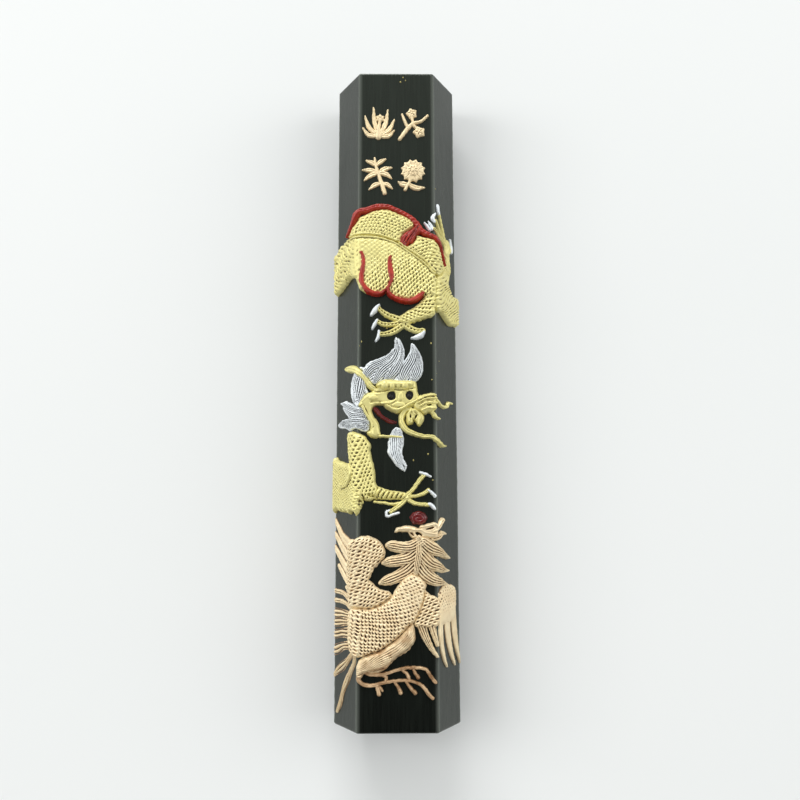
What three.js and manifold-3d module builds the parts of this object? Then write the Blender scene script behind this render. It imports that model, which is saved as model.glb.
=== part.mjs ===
// Ink stick: a long six-sided cake of pressed soot and glue, moulded in two half moulds that
// meet at the two side edges. A dragon and a phoenix stand in low relief on the front and wrap
// on to the two upper side faces. Four plant sprigs stand near the upper end.
//
// Frame, in millimetres: the stick lies on its back face. The origin is at the centre of that
// face, +X runs across the stick, +Y along it towards the sprigs, +Z out of the decorated face.
//
// Every relief shape is drawn on the skin of the cake unrolled flat: u runs across from the
// middle of the front face, v runs along the stick, and a height stands above the skin. The
// flat solid is then split at the two folds beside the front face and bent over them.

import * as THREE from 'three';
import { mergeVertices } from 'three/addons/utils/BufferGeometryUtils.js';
import Module from 'manifold-3d';

const wasm = await Module();
wasm.setup();

// ---- Driving dimensions ------------------------------------------------------------------

const LENGTH = 240;                   // end to end
const FACE_WIDTH = 28;                // front and back faces
const SIDE_WIDTH = 16.8;              // each of the four side faces
const FOLD_ANGLE = Math.PI / 3;       // turn of the surface at each fold
const EDGE_RADIUS = 0.8;              // rounding along the cake
const END_CHAMFER = 0.5;              // break of the edges at both ends
const GAP = 0.3;                      // clearance under and beside each relief piece

const HALF_FACE = FACE_WIDTH / 2;
const HALF_THICKNESS = SIDE_WIDTH * Math.sin(FOLD_ANGLE);
const THICKNESS = 2 * HALF_THICKNESS;
const HALF_WIDTH = HALF_FACE + SIDE_WIDTH * Math.cos(FOLD_ANGLE);
const SKIN_EDGE = HALF_FACE + SIDE_WIDTH - 0.2;   // the relief stops just short of the parting edge

const CUT_HEIGHT = 8;                 // a neighbour's clearance is cut this high
const CUT_DIRECTIONS = 8;             // sideways copies that widen a neighbour by the gap
const CORNER_STEPS = 2;               // half the facets in a rounded edge of the cake
const CAP_STEPS = 3;                  // facets in the round end of a stroke
const FOLD_SNAP = 1e-3;               // a point this close to a fold lies on it

// ---- Paints --------------------------------------------------------------------------------

const PAINTS = {
  ink: { color: 0x1c1f1e, roughness: 0.5, metalness: 0 },
  pale_gold: { color: 0xe3cfa4, roughness: 0.45, metalness: 0.5 },
  dragon_gold: { color: 0xd3c983, roughness: 0.4, metalness: 0.6 },
  rose_gold: { color: 0xd9b98f, roughness: 0.4, metalness: 0.6 },
  silver: { color: 0xd5d9dc, roughness: 0.35, metalness: 0.6 },
  red_lacquer: { color: 0xb0281e, roughness: 0.3, metalness: 0 },
  black_lacquer: { color: 0x0c0c0c, roughness: 0.2, metalness: 0 },
};

// ---- Solids --------------------------------------------------------------------------------

function toSolid(geometry) {
  geometry.deleteAttribute('normal');
  geometry.deleteAttribute('uv');
  const merged = mergeVertices(geometry, 1e-5);
  return new wasm.Manifold(new wasm.Mesh({
    numProp: 3,
    vertProperties: new Float32Array(merged.attributes.position.array),
    triVerts: new Uint32Array(merged.index.array),
  }));
}

function toGeometry(solid) {
  const { vertProperties, triVerts } = solid.getMesh();
  const geometry = new THREE.BufferGeometry();
  geometry.setAttribute('position', new THREE.BufferAttribute(new Float32Array(vertProperties), 3));
  geometry.setIndex(new THREE.BufferAttribute(new Uint32Array(triVerts), 1));
  geometry.computeVertexNormals();
  return geometry;
}

function joinAll(solids) {
  return solids.reduce((sum, solid) => sum.add(solid));
}

function largestBody(solid) {
  return solid.decompose().reduce((best, body) => (body.volume() > best.volume() ? body : best));
}

function prism(outline, base, top) {
  const geometry = new THREE.ExtrudeGeometry(new THREE.Shape(outline), {
    depth: top - base,
    bevelEnabled: false,
  });
  geometry.translate(0, 0, base);
  return toSolid(geometry);
}

// ---- Outlines on the unrolled skin ---------------------------------------------------------

// A closed curve through a few points [u, v].
function blob(height, ...points) {
  const curve = new THREE.CatmullRomCurve3(
    points.map(([u, v]) => new THREE.Vector3(u, v, 0)), true, 'centripetal');
  const outline = curve.getPoints(Math.round(points.length * 1.6)).slice(0, -1);
  return { height, outline: outline.map((p) => new THREE.Vector2(p.x, p.y)) };
}

// A brush stroke through points [u, v, half width], with round ends.
function stroke(height, ...points) {
  const curve = new THREE.CatmullRomCurve3(
    points.map(([u, v, half]) => new THREE.Vector3(u, v, half)), false, 'centripetal');
  const steps = Math.round((points.length - 1) * 1.5);
  const line = curve.getPoints(steps);
  const left = [];
  const right = [];
  const along = [];
  line.forEach((point, i) => {
    const before = line[Math.max(i - 1, 0)];
    const after = line[Math.min(i + 1, steps)];
    const run = new THREE.Vector2(after.x - before.x, after.y - before.y).normalize();
    along.push(run);
    const across = new THREE.Vector2(-run.y, run.x);
    left.push(new THREE.Vector2(point.x, point.y).addScaledVector(across, point.z));
    right.push(new THREE.Vector2(point.x, point.y).addScaledVector(across, -point.z));
  });
  const end = cap(line[steps], along[steps]);
  const start = cap(line[0], along[0].clone().negate());
  return { height, outline: [...right, ...end, ...left.reverse(), ...start] };
}

// The points between the two sides of a stroke's round end, from its right side to its left.
function cap(centre, outward) {
  const heading = Math.atan2(outward.y, outward.x);
  const points = [];
  for (let i = 1; i < CAP_STEPS; i += 1) {
    const angle = heading - Math.PI / 2 + (Math.PI * i) / CAP_STEPS;
    points.push(new THREE.Vector2(
      centre.x + centre.z * Math.cos(angle), centre.y + centre.z * Math.sin(angle)));
  }
  return points;
}

// A round flower or eye. Its edge has a number of lobes of the given depth.
function rosette(height, u, v, radiusU, radiusV, lobes = 0, depth = 0) {
  const steps = Math.max(12, lobes * 4);
  const outline = [];
  for (let i = 0; i < steps; i += 1) {
    const angle = (2 * Math.PI * i) / steps;
    const reach = 1 - depth * Math.abs(Math.cos((lobes * angle) / 2));
    outline.push(new THREE.Vector2(
      u + radiusU * reach * Math.cos(angle), v + radiusV * reach * Math.sin(angle)));
  }
  return { height, outline };
}

// Pointed leaves from one root to each tip [u, v, bow], where bow is a sideways swing.
function leaves(height, root, tips, half) {
  return tips.map(([u, v, bow]) => {
    const [ru, rv] = root;
    const length = Math.hypot(u - ru, v - rv);
    const side = [(-(v - rv) / length) * bow, ((u - ru) / length) * bow];
    const middle = [(u + ru) / 2 + side[0], (v + rv) / 2 + side[1]];
    return stroke(height, [ru, rv, half * 0.6], [...middle, half], [u, v, half * 0.25]);
  });
}

// ---- Bending on to the cake ----------------------------------------------------------------

function bend(u, v, height) {
  const side = Math.sign(u);
  const past = Math.abs(u) - HALF_FACE;
  if (Math.abs(past) < FOLD_SNAP) {
    const mitre = height * Math.tan(FOLD_ANGLE / 2);
    return [side * (HALF_FACE + mitre), v, THICKNESS + height];
  }
  if (past < 0) return [u, v, THICKNESS + height];
  const x = HALF_FACE + past * Math.cos(FOLD_ANGLE) + height * Math.sin(FOLD_ANGLE);
  return [side * x, v, THICKNESS - past * Math.sin(FOLD_ANGLE) + height * Math.cos(FOLD_ANGLE)];
}

function bendSolid(flat) {
  const { vertProperties, triVerts } = flat.getMesh();
  const moved = new Float32Array(vertProperties.length);
  for (let i = 0; i < vertProperties.length; i += 3) {
    moved.set(bend(...vertProperties.slice(i, i + 3)), i);
  }
  return new wasm.Manifold(new wasm.Mesh({ numProp: 3, vertProperties: moved, triVerts }));
}

// The three strips of the unrolled skin that carry relief.
function strip(from, to) {
  const box = new THREE.BoxGeometry(to - from, LENGTH, 4 * CUT_HEIGHT);
  box.translate((from + to) / 2, 0, 0);
  return toSolid(box);
}
const STRIPS = [
  strip(-SKIN_EDGE, -HALF_FACE),
  strip(-HALF_FACE, HALF_FACE),
  strip(HALF_FACE, SKIN_EDGE),
];

function wrap(flat) {
  const parts = STRIPS.map((zone) => flat.intersect(zone)).filter((part) => !part.isEmpty());
  return largestBody(joinAll(parts.map(bendSolid)));
}

// ---- Assembly ------------------------------------------------------------------------------

const inkStick = new THREE.Group();
const clearances = [];

function addMesh(name, paint, geometry) {
  const mesh = new THREE.Mesh(geometry, new THREE.MeshStandardMaterial(PAINTS[paint]));
  mesh.name = name;
  inkStick.add(mesh);
}

function footprint(shapes) {
  const tall = joinAll(shapes.map(({ outline }) => prism(outline, -1, CUT_HEIGHT)));
  const copies = [tall];
  for (let i = 0; i < CUT_DIRECTIONS; i += 1) {
    const angle = (2 * Math.PI * i) / CUT_DIRECTIONS;
    copies.push(tall.translate([GAP * Math.cos(angle), GAP * Math.sin(angle), 0]));
  }
  return joinAll(copies);
}

function apart(a, b) {
  return a.max[0] < b.min[0] || b.max[0] < a.min[0] || a.max[1] < b.min[1] || b.max[1] < a.min[1];
}

// One relief piece. It is cut back around the pieces added before it.
function relief(name, paint, ...drawn) {
  const shapes = drawn.flat();
  let flat = joinAll(shapes.map(({ height, outline }) => prism(outline, GAP, height)));
  const box = flat.boundingBox();
  for (const clearance of clearances) {
    if (!apart(box, clearance.box)) flat = flat.subtract(clearance.solid);
  }
  const solid = footprint(shapes);
  clearances.push({ solid, box: solid.boundingBox() });
  addMesh(name, paint, toGeometry(wrap(largestBody(flat))));
}

// ---- The cake ------------------------------------------------------------------------------

function roundedHexagon() {
  const inset = EDGE_RADIUS / Math.cos(FOLD_ANGLE / 2);
  const outline = new THREE.Shape();
  const corners = [
    [HALF_FACE, -HALF_THICKNESS], [HALF_WIDTH, 0], [HALF_FACE, HALF_THICKNESS],
    [-HALF_FACE, HALF_THICKNESS], [-HALF_WIDTH, 0], [-HALF_FACE, -HALF_THICKNESS],
  ];
  corners.forEach(([x, z], i) => {
    const heading = (i - 1) * FOLD_ANGLE;
    const from = heading - FOLD_ANGLE / 2;
    const centreX = x - inset * Math.cos(heading);
    const centreZ = z - inset * Math.sin(heading);
    outline.absarc(centreX, centreZ, EDGE_RADIUS, from, from + FOLD_ANGLE, false);
  });
  return outline;
}

const cake = new THREE.ExtrudeGeometry(roundedHexagon(), {
  depth: LENGTH - 2 * END_CHAMFER,
  curveSegments: CORNER_STEPS,
  bevelThickness: END_CHAMFER,
  bevelSize: END_CHAMFER,
  bevelOffset: -END_CHAMFER,
  bevelSegments: 1,
});
cake.translate(0, 0, -LENGTH / 2 + END_CHAMFER);
cake.rotateX(Math.PI / 2);
cake.translate(0, 0, HALF_THICKNESS);
addMesh('ink_body', 'ink', toGeometry(toSolid(cake)));

// ---- Four plant sprigs near the upper end ----------------------------------------------------

relief('plum_sprig', 'pale_gold',
  stroke(0.9, [1.2, 93.2, 0.6], [4.4, 97.6, 0.7], [6.4, 99.4, 0.6], [9.4, 100.4, 0.5], [11.8, 102.6, 0.4]),
  stroke(0.9, [4.4, 97.6, 0.6], [3.2, 100.4, 0.5], [2.2, 103, 0.35]),
  stroke(0.9, [6.4, 99.4, 0.6], [6, 101.2, 0.5], [5.6, 103.2, 0.5]),
  stroke(0.9, [6, 99.2, 0.6], [7.4, 97.8, 0.5], [8.4, 96.2, 0.5]),
  rosette(1.1, 8.6, 96, 2.4, 2.4, 5, 0.25), rosette(1.1, 5.8, 103.4, 2.2, 2.2, 5, 0.25));

relief('orchid_sprig', 'pale_gold',
  leaves(0.9, [-6.6, 94.4], [
    [-12.6, 97.6, 1.4], [-11.8, 102.4, 1.2], [-8.6, 105.8, 0.6],
    [-3.2, 104.8, -0.8], [-0.8, 101, -1.2], [-0.8, 96.6, -1.2]], 0.9),
  stroke(1, [-6.8, 94.2, 1.2], [-6.6, 97.6, 0.7], [-6.2, 100.6, 0.6]),
  rosette(1.1, -6.1, 101.4, 1.7, 1.7, 6, 0.3));

relief('bamboo_sprig', 'pale_gold',
  stroke(1, [-4.4, 71.9, 0.8], [-5.4, 75.2, 0.75], [-6.6, 78.8, 0.65], [-7.6, 82.4, 0.55], [-8.2, 85.6, 0.4]),
  leaves(0.9, [-6.8, 79.6], [[-12.6, 80.8, -0.6], [-12, 76.8, -0.6], [-1.8, 81.8, 0.6], [-1.8, 77.6, 0.8]], 1),
  leaves(0.9, [-7.6, 82.6], [[-11.4, 84.6, -0.3], [-4, 85.2, 0.3]], 0.9),
  leaves(0.9, [-5.6, 75.8], [[-10.2, 73.2, -0.5], [-1.6, 73.6, 0.5]], 0.9));

relief('chrysanthemum_sprig', 'pale_gold',
  rosette(1, 6.2, 80.6, 4.7, 4.7, 12, 0.16),
  stroke(0.9, [6.2, 80.6, 0.6], [5, 76.6, 0.6], [3.2, 73.2, 0.6]),
  leaves(0.9, [4.4, 75.4], [[10.4, 74, -0.8], [0.8, 76.2, 0.5]], 1.1));

// ---- Dragon: red fins and flames -------------------------------------------------------------

relief('dorsal_fin', 'red_lacquer',
  stroke(2.8, [-20, 56.2, 0.4], [-18, 58.6, 0.9], [-15.6, 61.6, 1], [-13.4, 63.8, 1.2], [-11, 65, 1.2],
    [-7.8, 66.1, 1.2], [-4, 66.3, 1], [-1.4, 65.7, 0.9], [2, 63.8, 1], [5, 62, 1.1], [7.4, 59.2, 1.5],
    [10, 56.2, 1.2], [13.6, 54.6, 1], [15.8, 51.4, 0.8], [17.4, 48.2, 0.8], [19.1, 45, 0.5]),
  blob(2.8, [8, 59], [5, 58], [1.8, 54.6], [1.3, 51.8], [2.8, 50.2], [5.2, 51.6], [6.8, 53.4], [8.6, 55.6]));

relief('belly_flame_left', 'red_lacquer',
  stroke(2.8, [-12.7, 48.2, 0.4], [-12.2, 45.6, 0.8], [-12.2, 42.6, 0.9], [-12.6, 39.4, 0.9], [-12, 36.2, 1],
    [-10.2, 34, 1], [-7.4, 32.9, 0.8], [-5, 33.3, 0.7], [-4.2, 34.2, 0.4]));

relief('belly_flame_middle', 'red_lacquer',
  stroke(2.8, [-2.3, 46.4, 0.5], [-2.5, 44, 1.1], [-2.1, 40.6, 1.5], [-1.9, 37.6, 1.1], [-3.2, 35, 0.9],
    [-2.6, 32.6, 0.8], [0, 31.2, 0.7], [3.7, 30, 0.8], [6.8, 30.8, 1.1], [9, 32.6, 1], [9.6, 33.3, 0.5]));

// ---- Dragon: claws -----------------------------------------------------------------------------

relief('hind_claw_1', 'silver', stroke(1.6, [-6.5, 28.8, 0.4], [-7.7, 27.6, 0.9], [-9.2, 25.3, 0.5]));
relief('hind_claw_2', 'silver', stroke(1.5, [-7.3, 23, 0.6], [-8.2, 21.6, 0.6], [-8.9, 20.1, 0.3]));
relief('hind_claw_3', 'silver', stroke(1.5, [-6.6, 19, 0.5], [-6.6, 17.3, 0.5], [-7.5, 15.6, 0.3]));
relief('hind_claw_4', 'silver', stroke(1.6, [9.6, 18.6, 0.5], [8.2, 17.2, 0.9], [5.6, 16.5, 0.35]));
relief('rear_claw_1', 'silver', stroke(1.6, [15, 64.8, 0.9], [15.2, 66.3, 0.9], [16, 67.2, 0.4]));
relief('rear_claw_2', 'silver', stroke(1.4, [13.4, 61.5, 0.5], [13.4, 63, 0.5], [13.8, 64, 0.3]));
relief('rear_claw_3', 'silver', stroke(1.4, [12, 57.3, 0.5], [11.3, 58.6, 0.6], [10.5, 59.8, 0.3]));
relief('rear_claw_4', 'silver', stroke(1.4, [13, 58.4, 0.5], [12.7, 59.4, 0.5], [12, 60.5, 0.3]));
relief('rear_claw_5', 'silver', stroke(1.6, [25.6, 56.7, 0.9], [26.6, 55.2, 1], [28.2, 54.7, 0.4]));
relief('fore_claw_1', 'silver', stroke(1.5, [8.3, -32.3, 0.5], [10.2, -32.4, 0.5], [11.5, -33.4, 0.3]));
relief('fore_claw_2', 'silver', stroke(1.4, [11.3, -38.5, 0.5], [12.4, -39.2, 0.5], [13.1, -40.2, 0.3]));
relief('fore_claw_3', 'silver', stroke(1.5, [11.4, -43.2, 0.6], [12.6, -43.9, 0.6], [13, -44.7, 0.4]));
relief('fore_claw_4', 'silver',
  stroke(1.5, [-3.4, -45.8, 0.5], [-3.4, -46.9, 0.5], [-1.6, -46.7, 0.4], [0.4, -46.2, 0.35]));

// ---- Dragon: hind legs and coils ---------------------------------------------------------------

relief('hind_leg', 'dragon_gold',
  stroke(2.2, [11.2, 32.8, 2.6], [10.3, 29, 3.2], [8, 26.2, 2.6], [4.5, 24, 1.9], [2.2, 22.6, 1.5]),
  stroke(1.6, [2.6, 22.6, 1.4], [-1, 24.2, 1.1], [-3.5, 25.2, 1], [-5.8, 26.9, 0.8]),
  stroke(1.5, [2.2, 22.2, 1.2], [-2.5, 21.6, 0.8], [-6.9, 22.6, 0.7]),
  stroke(1.6, [2.6, 21.6, 1.3], [-0.5, 19.5, 1.1], [-3, 18.4, 0.9], [-5.8, 17.8, 0.7]),
  stroke(1.6, [2.5, 22, 1.2], [5.5, 19.9, 1.1], [8, 19.2, 0.9], [9.6, 19.4, 0.6]));

relief('rear_leg', 'dragon_gold',
  stroke(2, [21.6, 39.6, 1.6], [22.6, 42, 2.6], [23.4, 45.4, 2.2], [23.2, 49, 1.7], [22.6, 52.4, 2.6]),
  stroke(1.9, [22.6, 53.6, 2.4], [20.4, 57, 1.9], [18.2, 60, 1.8], [16.4, 62.6, 1.4]),
  stroke(1.7, [19.6, 57.4, 1.3], [16.4, 57, 1], [14, 57.4, 0.6]),
  stroke(1.7, [18.6, 59.4, 1.2], [16.4, 60, 1], [14.2, 60.8, 0.6]),
  stroke(1.8, [23, 53.8, 1.5], [25.2, 53.4, 1.2]));

relief('coil_back', 'dragon_gold',
  blob(2.5, [-18.8, 55.9], [-16, 58.4], [-13.4, 62], [-8.8, 64.5], [-4, 65.2], [0.4, 63.8], [4.3, 61.2],
    [6.4, 58], [3.4, 56], [1.3, 52.2], [-4, 54.2], [-9.6, 55], [-14, 55.2]));

relief('coil_shoulder', 'dragon_gold',
  blob(2.5, [7.5, 55], [10.8, 54.2], [13.4, 53.4], [15, 51], [17.4, 45.6], [18.7, 44], [16.8, 41],
    [14.4, 39.8], [11, 44], [8, 46.5], [3.4, 49.8], [6, 52]));

relief('coil_wrap_right', 'dragon_gold',
  blob(2.4, [14.6, 39.4], [17, 42.2], [19.4, 43.4], [21, 40.6], [23, 37], [26, 35.2], [30.8, 34.4],
    [30.8, 25], [26, 23.7], [21.3, 24.5], [16.4, 26.9], [14.4, 29], [13.4, 33], [14, 36.4]));

relief('coil_belly', 'dragon_gold',
  blob(2.4, [-18.8, 55.6], [-21.8, 54.9], [-25.8, 54.3], [-28.4, 52.4], [-30.8, 51.4], [-30.8, 37.4],
    [-26, 37.2], [-20, 39.6], [-16.3, 39.8], [-14, 38], [-13.2, 35.4], [-9, 33.4], [-4.4, 33.6],
    [0, 31.6], [5.6, 31.4], [9, 33], [13.4, 33.8], [13.8, 37], [13.6, 40], [11, 43.6], [8, 46.2],
    [4, 49.2], [0, 52.2], [-4, 53.6], [-9.6, 54.6], [-14, 54.8]));

// ---- Dragon: head ------------------------------------------------------------------------------

relief('eye_left', 'black_lacquer', rosette(3.1, -1.9, -4.8, 1.6, 1.7));
relief('eye_right', 'black_lacquer', rosette(3.1, 4.4, -4.6, 1.6, 1.9));

relief('tongue', 'red_lacquer',
  stroke(1.6, [-7.4, -9, 0.8], [-7, -10.4, 0.7], [-5.2, -12.2, 0.7], [-3, -13.8, 0.6], [-0.8, -14.1, 0.5]));

relief('brow', 'dragon_gold',
  stroke(2.8, [-6, -0.8, 1], [-4, -1, 1.9], [-1.8, -0.8, 1.5], [0.6, -1, 1.3], [2.8, -0.9, 1.4],
    [5, -1, 1.1], [6.6, -1.2, 0.7]));

relief('horn', 'dragon_gold',
  stroke(2.3, [-20.2, 5.8, 0.9], [-17.6, 5.8, 1.3], [-15, 5.4, 1.1], [-12.6, 3.2, 1], [-10.4, 0.4, 1],
    [-8.2, -2, 0.8], [-6.6, -2.6, 0.5]));

relief('snout', 'dragon_gold',
  blob(2.7, [7.8, -4.6], [10.9, -3.8], [13.4, -3.7], [13.8, -8.4], [12.8, -10], [10.4, -11.2],
    [9.4, -13.4], [8, -15.5], [6.6, -14.2], [4, -14.8], [3.4, -12], [4.6, -9.2], [6.2, -7]),
  stroke(1.5, [12.4, -9.6, 0.7], [13, -11.6, 0.6], [14.8, -12.7, 0.35]));

relief('lower_whisker', 'dragon_gold',
  stroke(2.2, [3.4, -9.9, 0.8], [1.9, -11.6, 1], [1.6, -13.6, 1], [2.2, -15.4, 0.9], [3.6, -17, 0.9],
    [6.2, -18.2, 0.8], [9.3, -19.1, 0.7], [12.4, -19.3, 0.7], [15.2, -21.8, 0.6], [18.1, -22.3, 0.4]));

relief('upper_whisker', 'dragon_gold',
  stroke(1.5, [14.2, -5.8, 0.6], [16, -7.5, 0.5], [19, -8, 0.5], [22, -6.8, 0.5], [25.3, -6, 0.4]));

relief('chin_bar', 'dragon_gold', stroke(1.9, [-6.6, -19.1, 0.5], [-2.4, -19.2, 0.45], [1.5, -19.4, 0.4]));

relief('dragon_head', 'dragon_gold',
  blob(2.3, [-6, 0.4], [-9.6, -2.6], [-12, -4.6], [-13.4, -7], [-12.8, -8.8], [-11.2, -11.4],
    [-9.6, -14.8], [-10.2, -18.4], [-8, -19.8], [-6.2, -18.6], [-6.4, -15], [-8.6, -11.6], [-8.6, -8.8],
    [-5, -8.1], [-1.6, -10.4], [1.4, -10.2], [5.6, -8.2], [7.8, -6], [7.6, -3.2], [6.6, -0.4], [2, 1]));

relief('beard', 'silver',
  blob(1.4, [-0.9, -17.2], [1.3, -16.8], [2.2, -19.4], [2.2, -22], [1.5, -25.8], [3.2, -29.4],
    [2.6, -31.4], [-0.4, -29], [-3.2, -25], [-3.1, -21]));

relief('mane_crest', 'silver',
  blob(1.5, [-13.4, 5.8], [-10.9, 6.9], [-7.5, 8.7], [-3.2, 10.3], [-1.2, 12.7], [-0.4, 16.2], [1.4, 15.6],
    [2.2, 11.8], [2, 8], [4.6, 10.8], [5.4, 14.4], [8.4, 10], [9.3, 6.6], [7.8, 2.2], [5.6, 0.4],
    [0, 1.2], [-4.6, 1.5], [-7.8, -0.3], [-11, 3]));

relief('mane_back', 'silver',
  blob(1.4, [-13.7, 3.4], [-15.6, 2.4], [-17.2, -0.9], [-17.3, -4], [-15.2, -6.9], [-13.6, -7.6],
    [-12.6, -5.2], [-10.2, -3.2], [-11.4, 0.6]));

relief('mane_cheek', 'silver',
  blob(1.4, [-24.7, -6], [-21.6, -5.8], [-16.7, -8.4], [-13.8, -8.6], [-12.2, -9.6], [-9.6, -14.6],
    [-10.8, -17.6], [-15, -15.2], [-19, -16.6], [-25.6, -15.2], [-26, -13.2], [-20, -12.6],
    [-20.8, -10]));

// ---- Dragon: neck, lower coil and foreleg --------------------------------------------------------

relief('lower_coil', 'dragon_gold',
  blob(2.4, [-17, -28.8], [-24.3, -27.5], [-30.8, -26.7], [-30.8, -44.2], [-26.3, -45], [-20.7, -45.6],
    [-16, -45.6], [-14.2, -46.8], [-12.6, -44.4], [-11.6, -42.4], [-14.6, -39.8], [-16, -36],
    [-16.6, -32]));

relief('foreleg', 'dragon_gold',
  stroke(2.1, [-8.4, -39.2, 2.4], [-6, -39.4, 2.3], [-3, -39.8, 1.7], [0.5, -40, 1.4], [3.4, -40.4, 1.1]),
  stroke(1.5, [-7.8, -41.8, 0.5], [-4.4, -42.4, 0.5], [-1, -42.8, 0.5], [2.8, -41.4, 0.6]),
  stroke(1.6, [3.2, -40.2, 0.9], [4.8, -38.7, 0.6], [6.4, -36.8, 0.6], [9.3, -33, 0.6]),
  stroke(1.5, [3.4, -40.3, 0.8], [6, -40.3, 0.5], [8.2, -39.8, 0.5], [11, -38.3, 0.5]),
  stroke(1.6, [3.2, -40.8, 0.8], [5.4, -42.4, 0.6], [8, -43.1, 0.6], [11, -43.2, 0.6]),
  stroke(1.6, [3.3, -40.8, 0.8], [1.8, -42.4, 0.7], [0, -44, 0.7], [-2.6, -45.7, 0.6]));

relief('dragon_neck', 'dragon_gold',
  blob(2.3, [-18.2, -17.2], [-18.7, -20.6], [-17.8, -25.6], [-16, -31.6], [-15.2, -36.6], [-13.4, -40.2],
    [-10.6, -41.6], [-8, -40.6], [-7.2, -37], [-8.2, -29.9], [-9.4, -23], [-11.4, -19.2], [-14.6, -17.6]));

relief('pearl', 'red_lacquer', rosette(1.5, 7.4, -47.8, 3, 2.2));

// ---- Phoenix -------------------------------------------------------------------------------------

relief('phoenix_head', 'rose_gold',
  blob(2.2, [-0.8, -52.6], [0.2, -51.2], [4.6, -50.6], [7.4, -51.4], [10, -50.1], [13.4, -49.7],
    [13.8, -53.8], [11.8, -54.6], [7.6, -54.5], [5.8, -54.9], [3.4, -52.8]),
  stroke(1.7, [12.6, -52.6, 0.8], [14.8, -50.6, 0.9], [16.2, -49.4, 1.1], [17.6, -48.7, 0.7]),
  stroke(1.7, [12.4, -54, 0.9], [14.8, -54, 1], [16.5, -53.3, 0.8], [18.6, -53.4, 0.35]));

const hackles = [
  [[8, -56, 1.7], [4, -57.7, 1.7], [0, -57.6, 1.7], [-3.4, -57.2, 0.9]],
  [[7, -59, 1.7], [3.4, -61.6, 1.8], [-1, -62.6, 1.7], [-5, -63.2, 0.8]],
  [[6.4, -63, 1.8], [3, -66.3, 1.8], [-1, -68.6, 1.8], [-5.8, -70, 0.8]],
  [[9.5, -56, 1.7], [13, -58.6, 1.7], [16.4, -60.4, 1], [19.9, -61.9, 0.3]],
  [[8.8, -60, 1.8], [12, -63.8, 1.8], [16, -65.4, 1.1], [19.7, -66.2, 0.35]],
  [[7.6, -64, 1.8], [11, -68.3, 1.9], [14.8, -69.9, 1.3], [18.2, -70.7, 0.4]],
];
relief('hackle_plumes', 'rose_gold',
  stroke(2.2, [8, -56, 2], [7.6, -60, 2.2], [7, -65.6, 1.8]),
  hackles.map((line) => stroke(2, ...line)));

relief('left_wing', 'rose_gold',
  blob(2.4, [-14.4, -54.8], [-11.1, -54], [-7, -55.4], [-4.4, -58.6], [-4.6, -61.4], [-7.6, -64.6],
    [-9.6, -68.8], [-6.6, -71.9], [-2.4, -73.8], [-4.4, -76.5], [-8.4, -78.3], [-13, -78.4],
    [-17.4, -77], [-18, -66], [-17.5, -56.2]));

const wingQuills = [
  [[-16.5, -57.2, 1.6], [-19.5, -57, 1.9], [-25.5, -53.6, 1.4], [-30.8, -48.6, 0.9]],
  [[-16.5, -61, 1.6], [-19.5, -61.5, 1.9], [-25, -57.9, 1.5], [-30.8, -53.3, 0.9]],
  [[-16.5, -65.5, 1.6], [-19.5, -66.2, 1.8], [-25, -62.7, 1.5], [-30.8, -58.2, 0.9]],
  [[-16.5, -70, 1.6], [-19, -70.6, 1.5], [-24.5, -67, 1.1], [-27.3, -64.7, 0.7]],
  [[-16.5, -73.5, 1.5], [-18.5, -73, 1.1], [-21.3, -71.9, 0.6]],
];
relief('left_wing_quills', 'rose_gold',
  stroke(1.9, [-19, -56.6, 0.8], [-19.4, -65, 1], [-18.8, -74, 0.8]),
  wingQuills.map((line) => stroke(1.9, ...line)));

relief('phoenix_body', 'rose_gold',
  blob(2.5, [5, -67.2], [8.6, -68.8], [9.8, -72], [8, -79], [4.5, -84], [0, -88.4], [-6, -92.4],
    [-13.6, -95], [-17, -92], [-17.8, -84], [-16, -79.2], [-10, -78.8], [-4, -76.4], [-1, -73],
    [2, -68.8]));

relief('right_shoulder', 'rose_gold',
  blob(2.2, [9.6, -72.6], [11.7, -74.4], [13.6, -75.4], [14, -80], [13.4, -84.6], [8.6, -85.1],
    [6, -84.4], [7.2, -80.5]),
  stroke(1.8, [8.6, -83.6, 1.6], [9.5, -88, 1.3], [11.3, -91.5, 0.9], [13.5, -94.8, 0.4]),
  stroke(1.8, [11.6, -83.6, 1.2], [12.6, -87.8, 0.9], [13.4, -91, 0.5]));

const primaries = [
  [[24, -79, 2], [24.2, -84, 1.8], [24.8, -89, 1.7], [26.3, -94, 1.5], [29.2, -98.8, 0.7]],
  [[21.5, -80, 2], [21.5, -86, 1.6], [23.5, -91, 1.2], [28.2, -98.6, 0.6]],
  [[18.5, -80, 2], [18.4, -86, 1.7], [19.6, -91, 1.4], [24.1, -98.8, 0.6]],
  [[15.4, -82, 1.5], [15.2, -88, 1.4], [15.8, -92.5, 1.2], [18.6, -98.3, 0.4]],
];
relief('right_wing', 'rose_gold',
  blob(2.3, [13.9, -75], [16.2, -72], [20.4, -70.9], [25.6, -71.8], [27.5, -74.6], [26.4, -80.3],
    [25.3, -84.8], [20, -85], [14.2, -85]),
  primaries.map((line) => stroke(1.9, ...line)));

relief('thigh', 'rose_gold',
  blob(2.5, [5.4, -84.6], [6, -88.6], [3.6, -92.9], [0, -95.2], [-4.4, -99], [-11, -100.4],
    [-13.6, -101.2], [-13.4, -97], [-12, -95.2], [-6, -92.9], [0, -88.9]));

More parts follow.
